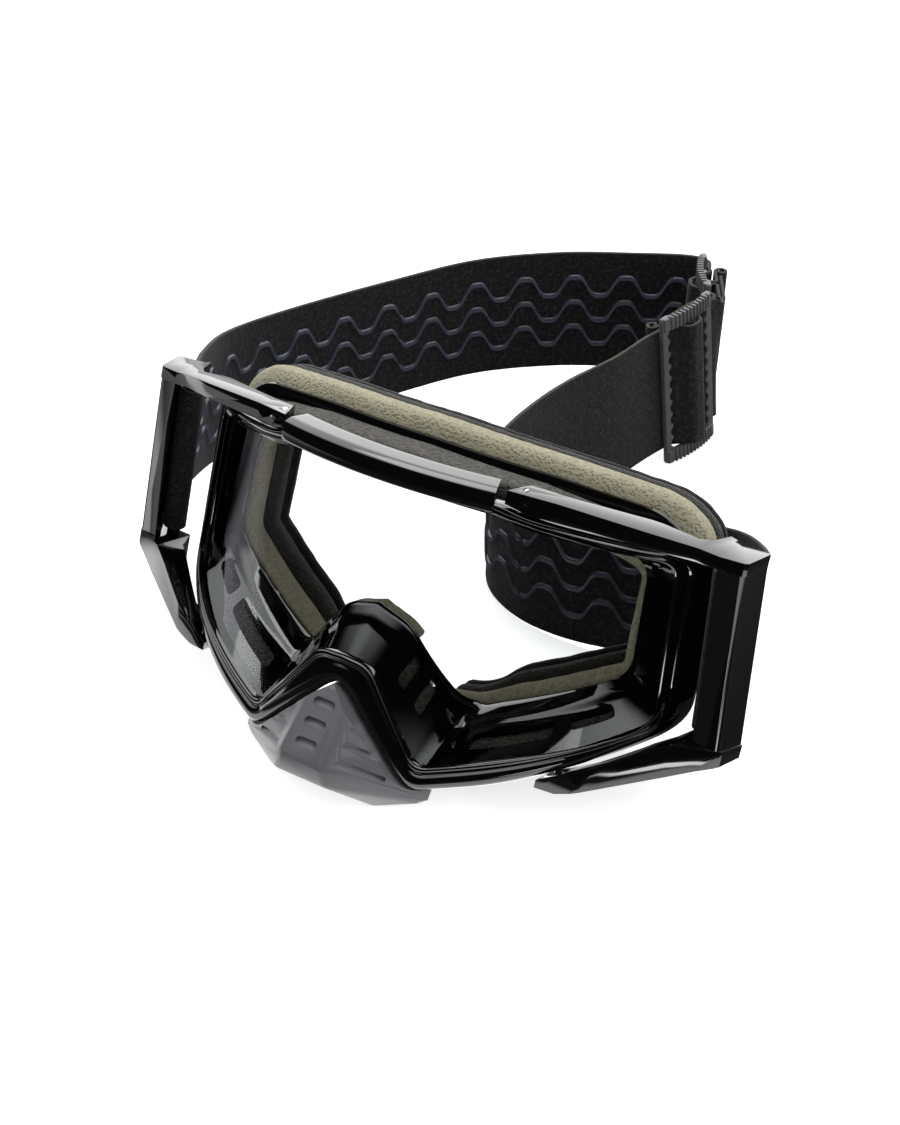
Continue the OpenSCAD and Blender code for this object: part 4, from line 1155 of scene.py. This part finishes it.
def outer_bar():
    """One outer bar of an adjuster: a rounded bar whose inner edge is bitten by a row of round
    scallops, its section at each height being a rounded rectangle."""
    pitch = (SLIDE_H - 2 * SLIDE_END) / SCALLOPS
    z = np.concatenate([[0, 0.25], np.linspace(0.7, SLIDE_H - 0.7, 190),
                        [SLIDE_H - 0.25, SLIDE_H]])
    part = (z - SLIDE_END) % pitch - pitch / 2
    bite = np.sqrt(np.maximum(0, SCALLOP_R ** 2 - part ** 2)) - SCALLOP_OUT
    inside = (z > SLIDE_END) & (z < SLIDE_H - SLIDE_END)
    bite = np.where(inside, np.maximum(0, bite), 0)
    pull = np.interp(np.minimum(z, SLIDE_H - z), [0, 0.25, 0.7], [0.55, 0.15, 0])
    out = []
    for zz, d, p in zip(z, bite, pull):
        y = SLIDE_T / 2 - p
        xy = boxed(SLIDE_L / 2 - SLIDE_BAR + d, SLIDE_L / 2 - p, -y, y, (0.5, 0.5))
        out.append(np.column_stack([xy, np.full(len(xy), zz)]))
    return np.stack(out)


def arched_end():
    """One short end of an adjuster: a strip bowed forwards over its length, with fine ribs across
    its edge and its front."""
    x = np.linspace(-SLIDE_L / 2 + 0.6, SLIDE_L / 2 - 0.6, 260)
    bow = -SLIDE_ARCH * (1 - (2 * x / SLIDE_L) ** 2)
    rib = np.where(np.abs(x) < SLIDE_L / 2 - 2.4,
                   0.5 + 0.5 * np.cos(2 * math.pi * x / RIB_PITCH), 0.6)
    rib = np.clip(rib * 2.4 - 0.6, 0, 1) * RIB_HIGH
    out = []
    for xx, yy, r in zip(x, bow, rib):
        yz = boxed(yy - 0.75 - r, yy + 1, 0.5 - r, SLIDE_END, (0.4, 0.3))
        out.append(np.column_stack([np.full(len(yz), xx), yz]))
    return np.stack(out)


class GOGGLES_OT_adjusters(bpy.types.Operator):
    """Builds both adjusters: scalloped outer bars, arched ribbed ends and the middle bar"""

    bl_idname = "goggles.adjusters"
    bl_label = "Adjusters"

    def execute(self, context):
        acetal = matt_acetal(context.scene.goggles_colours)
        bar, end = outer_bar(), arched_end()
        a = np.linspace(0, 2 * math.pi, 20, endpoint=False)
        pin = np.stack([np.column_stack([SLIDE_PIN_R * np.cos(a),
                                         SLIDE_MIDDLE + SLIDE_PIN_R * np.sin(a),
                                         np.full(20, z)]) for z in (1.0, SLIDE_H - 1.0)])
        top = end * [1, 1, -1] + [0, 0, SLIDE_H]
        for name, rest in (("back", BACK_REST), ("front", FRONT_REST)):
            pieces = [surface("part", lay(at_adjuster(rest, g)))
                      for g in (bar, bar * [-1, 1, 1], end, top, pin)]
            slide = joined("adjuster_slide_" + name, pieces)
            finish(slide, acetal, name + "_adjuster", ["adjuster_" + name])
        return {"FINISHED"}


# Materials. Their coordinates are metres, so a noise's scale is 1000 over the size of its grains
# in millimetres, and a bump's distance is its height in millimetres over 1000.


def add_node(tree, kind, inputs=(), out=0, **settings):
    """Adds a shader node with its settings, sets or links its inputs, given by name or in their
    order, and gives back one of its outputs."""
    node = tree.nodes.new("ShaderNode" + kind)
    for key, value in settings.items():
        setattr(node, key, value)
    for key, value in inputs.items() if isinstance(inputs, dict) else enumerate(inputs):
        if isinstance(value, bpy.types.NodeSocket):
            tree.links.new(value, node.inputs[key])
        else:
            colour_in = node.inputs[key].type == "RGBA"
            node.inputs[key].default_value = (*value, 1) if colour_in else value
    return node.outputs[out] if node.outputs else None


def material(name, kind="TexCoord", out="Object", **settings):
    """An empty node material, the function that adds nodes to it, and the coordinates that its
    patterns follow."""
    mat = bpy.data.materials.get(name) or bpy.data.materials.new(name)
    mat.use_nodes = True
    mat.node_tree.nodes.clear()
    add = partial(add_node, mat.node_tree)
    return mat, add, add(kind, out=out, **settings)


def toned(tone, share):
    """A colour, darker or brighter by a share."""
    return tuple(min(1, c * share) for c in tone)


def gloss_abs(colours):
    """Injection-moulded ABS from a polished tool. To the eye: deep black with mirror-like
    reflections that waver a little over the walls, and hardly any colour of its own."""
    mat, add, where = material("ABS, injection moulded, polished gloss black")
    wave = add("TexNoise", {"Vector": where, "Scale": 1000 / 22, "Detail": 1})
    fine = add("TexNoise", {"Vector": where, "Scale": 1000 / 3})
    cloud = add("TexNoise", {"Vector": where, "Scale": 1000 / 9})
    add("OutputMaterial", {"Surface": add("BsdfPrincipled", {
        "Base Color": add("Mix", {0: cloud, 6: colours.gloss, 7: toned(colours.gloss, 1.6)}, 2,
                          data_type="RGBA"),
        "Roughness": add("Math", (fine, 0.04, 0.03), operation="MULTIPLY_ADD"),
        "IOR": 1.53, "Normal": add("Bump", {"Height": wave, "Distance": 0.05 / 1000})})})
    return mat


def clear_polycarbonate():
    """Clear polycarbonate sheet, coated against glare and bent cold. To the eye: it shows only
    where it turns away, by a faint grey sheen, and by a thin bright line at its cut edge. It
    holds back half of the light that falls in, so that the throat behind it stays dim."""
    mat, add, where = material("Polycarbonate, extruded sheet, clear")
    wave = add("TexNoise", {"Vector": where, "Scale": 1000 / 30})
    gloss = add("BsdfGlossy", {
        "Color": linear("#95959c"),
        "Roughness": add("Math", (wave, 0.006, 0.0), operation="MULTIPLY_ADD")})
    path = add("LightPath").node.outputs
    lighting = add("Math", (path["Is Shadow Ray"], path["Is Diffuse Ray"]), operation="MAXIMUM")
    clear = add("BsdfTransparent", {"Color": add(
        "Mix", {0: lighting, 6: linear("#fdfefe"), 7: linear("#dadada")}, 2, data_type="RGBA")})
    mirror = add("Math", (add("Fresnel", {"IOR": 1.585}), 0.06), operation="SUBTRACT")
    coated = add("Math", (mirror, 0.0), operation="MAXIMUM")
    # only a face that is met from outside reflects, because the sheet is thin
    dull = add("Math", (lighting, add("NewGeometry", out="Backfacing")), operation="MAXIMUM")
    share = add("Math", (coated, add("Math", (1.0, dull), operation="SUBTRACT")),
                operation="MULTIPLY")
    add("OutputMaterial", {"Surface": add("MixShader", (share, clear, gloss))})
    return mat


def spark_abs(colours):
    """ABS moulded in a spark-eroded tool. To the eye: matt dark grey with a fine sandy grain,
    drawn coarser than the real one so that it shows."""
    mat, add, where = material("ABS, injection moulded, spark-eroded grain")
    grain = add("TexNoise", {"Vector": where, "Scale": 1000 / 0.35})
    coarse = add("TexNoise", {"Vector": where, "Scale": 1000 / 8})
    cloud = add("Math", (grain, 0.6, add("Math", (coarse, 0.4), operation="MULTIPLY")),
                operation="MULTIPLY_ADD")
    add("OutputMaterial", {"Surface": add("BsdfPrincipled", {
        "Base Color": add("Mix", {0: cloud, 6: toned(colours.guard, 0.75),
                                  7: toned(colours.guard, 1.25)}, 2, data_type="RGBA"),
        "Roughness": add("Math", (grain, 0.12, 0.42), operation="MULTIPLY_ADD"),
        "IOR": 1.5, "Normal": add("Bump", {"Height": grain, "Distance": 0.06 / 1000})})})
    return mat


def open_cell_foam(name, tone, cell, depth):
    """Polyurethane foam cut from a block. To the eye: dry and soft, pitted with open cells whose
    bottoms are painted dark as shade and whose rims catch the light; depth 1 is the coarsest,
    with the darkest painted shade."""
    mat, add, where = material(name)
    drift = add("TexNoise", {"Vector": where, "Scale": 0.7 / cell}, "Color")
    bent = add("VectorMath", (drift, (cell * 0.9,) * 3, where), operation="MULTIPLY_ADD")
    cells = add("TexVoronoi", {"Vector": bent, "Scale": 1 / cell}, "Distance")
    pits = add("MapRange", (cells, 0.15, 0.6, 0.0, 1.0))
    fine = add("TexNoise", {"Vector": where, "Scale": 1 / (cell * 0.7), "Detail": 3,
                            "Roughness": 0.7})
    soil = add("TexNoise", {"Vector": where, "Scale": 1000 / 12, "Detail": 3})
    # painted shade: the colour at a pit's bottom, darker the greater the depth
    shade = toned(tone, 1 - 0.72 * depth)
    # painted shade from a pit's bottom to its rim, then the paler fibres, then the soiled patches
    for factor, share, end in ((pits, 1.0, tone), (fine, 0.5, toned(tone, 1.3)),
                               (soil, 0.3, toned(tone, 0.8))):
        part = factor if share == 1 else add("Math", (factor, share), operation="MULTIPLY")
        shade = add("Mix", {0: part, 6: shade, 7: end}, 2, data_type="RGBA")
    height = add("Math", (fine, 0.4, pits), operation="MULTIPLY_ADD")
    add("OutputMaterial", {"Surface": add("BsdfPrincipled", {
        "Base Color": shade, "Roughness": 0.95, "IOR": 1.3, "Sheen Weight": 0.15,
        "Sheen Roughness": 0.5,
        "Normal": add("Bump", {"Height": height, "Distance": 0.42 * cell * depth})})})
    return mat


def napped_fleece(colours):
    """Knitted polyester, brushed to a nap. To the eye: deep soft black with a pale bloom where
    it turns away, and short pile that lies in tufts."""
    mat, add, where = material("Polyester fleece, knitted and brushed")
    pile = add("TexNoise", {"Vector": where, "Scale": 1000 / 1.1, "Detail": 4, "Roughness": 0.75})
    tuft = add("TexNoise", {"Vector": where, "Scale": 1000 / 2.6, "Detail": 3, "Roughness": 0.6})
    mess = add("Math", (pile, 0.6, add("Math", (tuft, 0.5), operation="MULTIPLY")),
               operation="MULTIPLY_ADD")
    add("OutputMaterial", {"Surface": add("BsdfPrincipled", {
        "Base Color": add("Mix", {0: mess, 6: toned(colours.fleece, 0.45),
                                  7: toned(colours.fleece, 2.6)}, 2, data_type="RGBA"),
        "Roughness": 1.0, "IOR": 1.3, "Sheen Weight": 0.55, "Sheen Roughness": 0.45,
        "Sheen Tint": linear("#e7e7ea"),
        "Normal": add("Bump", {"Height": mess, "Distance": 0.5 / 1000})})})
    return mat


def woven_elastic(colours, rib):
    """Woven polyester elastic with a brushed face. To the eye: black, flecked with paler fibres;
    slanted twill ribs on its outer face, a fuzzy nap inside, and a paler core at its cut edges."""
    mat, add, cloth = material("Polyester elastic, woven twill, brushed", "UVMap", 0,
                               uv_map="cloth")
    cut_edge = add("Attribute", out="Fac", attribute_name="edge")
    inside = add("Attribute", out="Fac", attribute_name="inside")
    x, y = add("SeparateXYZ", (cloth,)).node.outputs[:2]
    slant = add("Math", (x, 0.8, y), operation="MULTIPLY_ADD")
    wave, yarn = (
        add("Math", (add("Math", (along, 2 * math.pi / pitch), operation="MULTIPLY"),),
            operation="SINE") for along, pitch in ((slant, rib), (x, rib * 0.55)))
    twill = add("Math", (wave, 0.5, add("Math", (yarn, 0.2, 0.5), operation="MULTIPLY_ADD")),
                operation="MULTIPLY_ADD")
    fleck = add("TexNoise", {"Vector": cloth, "Scale": 1000 / 1.5, "Detail": 4, "Roughness": 0.8})
    nap = add("TexNoise", {"Vector": cloth, "Scale": 1000 / 3.2, "Detail": 4, "Roughness": 0.75})
    fuzz = add("Math", (fleck, 0.6, add("Math", (nap, 0.5), operation="MULTIPLY")),
               operation="MULTIPLY_ADD")
    height = add("Mix", {0: inside, 2: twill, 3: fuzz})
    relief = add("Math", (height, 0.45, add("Math", (fuzz, 0.55), operation="MULTIPLY")),
                 operation="MULTIPLY_ADD")
    spots = add("MapRange", (fleck, 0.5, 0.68, 0.0, 0.75))
    worn = add("Math", (cut_edge, add("Math", (nap, 0.9, 0.35), operation="MULTIPLY_ADD")),
               operation="MULTIPLY")
    tone = toned(colours.strap, 0.5)
    for factor, end in ((relief, toned(colours.strap, 2.3)), (spots, toned(colours.strap, 9)),
                        (worn, colours.strap_edge)):
        tone = add("Mix", {0: factor, 6: tone, 7: end}, 2, data_type="RGBA")
    ribs = add("Bump", {"Height": height, "Distance": 0.14 / 1000})
    add("OutputMaterial", {"Surface": add("BsdfPrincipled", {
        "Base Color": tone, "Roughness": 0.92, "IOR": 1.3, "Sheen Weight": 0.12,
        "Sheen Roughness": 0.5, "Sheen Tint": linear("#ededf3"),
        "Normal": add("Bump", {"Height": fuzz, "Distance": 0.35 / 1000, "Normal": ribs})})})
    return mat


def silicone_rubber(colours):
    """Silicone, drawn on as a bead and cured. To the eye: glossy blue-grey rubber with soft
    highlights that break up along the bead."""
    mat, add, where = material("Silicone rubber, extruded bead, glossy")
    lumps = add("TexNoise", {"Vector": where, "Scale": 1000 / 1.5})
    add("OutputMaterial", {"Surface": add("BsdfPrincipled", {
        "Base Color": add("Mix", {0: lumps, 6: toned(colours.bead, 0.7),
                                  7: toned(colours.bead, 1.4)}, 2, data_type="RGBA"),
        "Roughness": add("Math", (lumps, 0.12, 0.06), operation="MULTIPLY_ADD"),
        "IOR": 1.43, "Normal": add("Bump", {"Height": lumps, "Distance": 0.08 / 1000})})})
    return mat


def matt_acetal(colours):
    """Acetal, injection moulded in a matt tool. To the eye: even mid grey, a little waxy, with a
    very fine grain, drawn coarser than the real one so that it shows."""
    mat, add, where = material("Acetal, injection moulded, matt")
    grain = add("TexNoise", {"Vector": where, "Scale": 1000 / 0.25})
    cloud = add("TexNoise", {"Vector": where, "Scale": 1000 / 5})
    add("OutputMaterial", {"Surface": add("BsdfPrincipled", {
        "Base Color": add("Mix", {0: cloud, 6: toned(colours.adjuster, 0.85),
                                  7: toned(colours.adjuster, 1.15)}, 2, data_type="RGBA"),
        "Roughness": add("Math", (grain, 0.1, 0.38), operation="MULTIPLY_ADD"),
        "IOR": 1.48, "Normal": add("Bump", {"Height": grain, "Distance": 0.02 / 1000})})})
    return mat


def ground_steel(colours):
    """Hardened steel pin stock, ground round. To the eye: bright metal with fine rings, drawn
    coarser than real grinding marks so that they show."""
    mat, add, where = material("Steel, hardened, centreless ground")
    # a wave's bands are 314 mm over its scale apart, so these are 0.35 mm
    rings = add("TexWave", {"Vector": where, "Scale": 900.0, "Distortion": 1.5}, "Fac",
                bands_direction="Z")
    add("OutputMaterial", {"Surface": add("BsdfPrincipled", {
        "Base Color": colours.steel, "Metallic": 1.0,
        "Roughness": add("Math", (rings, 0.12, 0.2), operation="MULTIPLY_ADD"),
        "Normal": add("Bump", {"Height": rings, "Distance": 0.01 / 1000})})})
    return mat


# Studio: the floor's half width, front and back, the glow that the floor shows only to
# reflections, painted light (places in metres, and the strengths that each fades between), the
# softboxes, the surroundings' strengths, and the camera

WHITE = linear("#ffffff")
FLOOR_HALF, FLOOR_FRONT, FLOOR_BACK = 0.75, -0.42, 1.4
# A glowing strip, painted light for reflections: middle in Y, where it starts and ends to
# fade, strength on it and beside it
STRIP_Y, STRIP_FADE = -0.115, (0.03, 0.05, 3.0, 0.08)
# The glowing area on the left and the glowing round patch, painted light for reflections: where
# each fades, and its strengths
LEFT_FADE = (-0.32, -0.17, 1.0, 0.0)
PATCH, PATCH_FADE = (0.2, -0.22, 0), (0.045, 0.065, 13.0, 0.0)
# Name, place, width, height and power; all face AIM
AIM = (0, 0, 0.04)
LAMPS = (("overhead", (-0.1, 0.25, 1.1), 0.9, 0.7, 9.0),
         ("left_side", (-0.9, -0.25, 0.5), 0.5, 0.7, 3.0),
         ("right_side", (0.9, 0.1, 0.45), 0.4, 0.6, 2.5))
# A dark curtain round the camera: its direction, and how the strength round it rises
CURTAIN, CURTAIN_FADE = (0.12, -0.62, -0.78), (-0.62, -0.3, 3.2, 0.012)
AMBIENT = 0.42
# Where the camera stands in the row frame, the direction back from its subject, and its shift
EYE = (0.241656, -0.460439, 0.3592)
CAMERA_BACK = (0.4421, -0.6737, 0.5922)
SHIFT = (0.0853, 0.0456)


def studio_floor():
    """Matt white paper under the goggles: it takes their shadow, and shines by itself in the
    camera's view so that it runs into the white behind it. Reflections see only its painted
    glow: a glowing strip under the goggles' front, a pale glowing area on their left and a bright
    glowing round patch in front of the right-hand lower arm, black between them as between
    black cards."""
    mat, add, where = material("Paper, coated, white")
    fibre = add("TexNoise", {"Vector": where, "Scale": 1000 / 1.2, "Detail": 3})
    paper = add("BsdfDiffuse", {"Color": add("Mix", {
        0: fibre, 6: linear("#f7f7f7"), 7: linear("#f9f9f9")}, 2, data_type="RGBA"),
        "Roughness": 0.5})
    glow = add("Emission", {"Color": WHITE, "Strength": 0.7})
    path = add("LightPath").node.outputs
    seen = add("MixShader", (path["Is Camera Ray"], paper, add("AddShader", (paper, glow))))
    x, y = add("SeparateXYZ", (where,)).node.outputs[:2]
    beside_strip = add("Math", (add("Math", (y, -STRIP_Y), operation="ADD"),),
                       operation="ABSOLUTE")
    apart = add("VectorMath", (where, PATCH), "Value", operation="DISTANCE")
    strip, left, patch = (add("MapRange", (value, *fade)) for value, fade in (
        (beside_strip, STRIP_FADE), (x, LEFT_FADE), (apart, PATCH_FADE)))
    brightest = add("Math", (patch, add("Math", (strip, left), operation="MAXIMUM")),
                    operation="MAXIMUM")
    # painted light: the floor's glow, which only reflections see
    reflection_glow = add("Emission", {"Color": WHITE, "Strength": brightest})
    add("OutputMaterial", {"Surface": add("MixShader", (path["Is Glossy Ray"], seen, reflection_glow))})
    return mat


def surroundings(world):
    """White all round in the camera's view, even and dimmer for matt surfaces, and in reflections
    white with a dark curtain round the camera."""
    world.use_nodes = True
    world.node_tree.nodes.clear()
    add = partial(add_node, world.node_tree)
    way = add("TexCoord", out="Generated")
    toward = add("VectorMath", (way, unit(np.array(CURTAIN))), "Value", operation="DOT_PRODUCT")
    curtain = add("MapRange", (toward, *CURTAIN_FADE), interpolation_type="SMOOTHSTEP")
    path = add("LightPath").node.outputs
    seen = add("Math", (path["Is Camera Ray"], path["Is Transmission Ray"]), operation="MAXIMUM")
    level = add("Mix", {0: path["Is Glossy Ray"], 2: AMBIENT, 3: curtain})
    level = add("Mix", {0: seen, 2: level, 3: 1.0})
    add("OutputWorld", {"Surface": add("Background", {"Color": WHITE, "Strength": level})})


def facing(obj, place, way):
    """Puts a lamp or camera in its place, looking along a direction."""
    obj.location = place
    obj.rotation_euler = Vector(way).to_track_quat("-Z", "Y").to_euler()
    return obj


def softbox(name, place, size, size_y, power):
    """A rectangular softbox at a place in metres, facing the goggles."""
    lamp = bpy.data.lights.new(name, "AREA")
    lamp.shape, lamp.size, lamp.size_y, lamp.energy = "RECTANGLE", size, size_y, power
    return facing(linked(name, lamp), place, Vector(AIM) - Vector(place))


class GOGGLES_OT_studio(bpy.types.Operator):
    """Builds the white floor and surroundings, the softboxes and the camera"""

    bl_idname = "goggles.studio"
    bl_label = "Studio"

    def execute(self, context):
        scene = context.scene
        mesh = bpy.data.meshes.new("studio_floor")
        mesh.from_pydata([(x, y, 0) for x, y in (
            (-FLOOR_HALF, FLOOR_FRONT), (FLOOR_HALF, FLOOR_FRONT), (FLOOR_HALF, FLOOR_BACK),
            (-FLOOR_HALF, FLOOR_BACK))], [], [(0, 1, 2, 3)])
        floor = linked("studio_floor", mesh)
        floor.data.materials.append(studio_floor())
        lamps = [softbox(*lamp) for lamp in LAMPS]
        # the side lamps would show in the lens
        for lamp in lamps[1:]:
            lamp.visible_glossy = False
        scene.world = scene.world or bpy.data.worlds.new("studio")
        surroundings(scene.world)
        camera = bpy.data.cameras.new("camera")
        camera.lens, camera.sensor_width, camera.sensor_fit = \
            scene.goggles_sizes.lens_focal, 36, "AUTO"
        camera.shift_x, camera.shift_y = SHIFT
        camera.clip_start = 0.01
        scene.camera = facing(linked("camera", camera), EYE, -Vector(CAMERA_BACK))
        scene.view_settings.view_transform = "Standard"
        return {"FINISHED"}


# Add-on

STEPS = (GOGGLES_OT_front_frame, GOGGLES_OT_face_frame, GOGGLES_OT_lens, GOGGLES_OT_outriggers,
         GOGGLES_OT_hinge_pins, GOGGLES_OT_nose_guard, GOGGLES_OT_face_foam,
         GOGGLES_OT_vent_foam, GOGGLES_OT_strap, GOGGLES_OT_grip_beads, GOGGLES_OT_sewn_ends,
         GOGGLES_OT_adjusters, GOGGLES_OT_studio)


class GOGGLES_PT_panel(bpy.types.Panel):
    """Lists the goggles' pieces and their settings"""

    bl_label = "Goggles"
    bl_idname = "GOGGLES_PT_panel"
    bl_space_type = "VIEW_3D"
    bl_region_type = "UI"
    bl_category = "Goggles"

    def draw(self, context):
        for group in (context.scene.goggles_sizes, context.scene.goggles_colours):
            column = self.layout.column(align=True)
            for key in group.bl_rna.properties.keys():
                if key not in ("rna_type", "name"):
                    column.prop(group, key)
        column = self.layout.column(align=True)
        for step in STEPS:
            column.operator(step.bl_idname)


CLASSES = (GogglesSizes, GogglesColours, *STEPS, GOGGLES_PT_panel)


def register():
    """Registers the settings, the operators and the panel."""
    for cls in CLASSES:
        bpy.utils.register_class(cls)
    bpy.types.Scene.goggles_sizes = bpy.props.PointerProperty(type=GogglesSizes)
    bpy.types.Scene.goggles_colours = bpy.props.PointerProperty(type=GogglesColours)


def unregister():
    """Takes the settings, the operators and the panel away again."""
    del bpy.types.Scene.goggles_colours
    del bpy.types.Scene.goggles_sizes
    for cls in reversed(CLASSES):
        bpy.utils.unregister_class(cls)


def main():
    """Builds the goggles piece by piece, then the studio."""
    register()
    for step in STEPS:
        group, name = step.bl_idname.split(".")
        getattr(getattr(bpy.ops, group), name)()


if __name__ == "__main__":
    main()
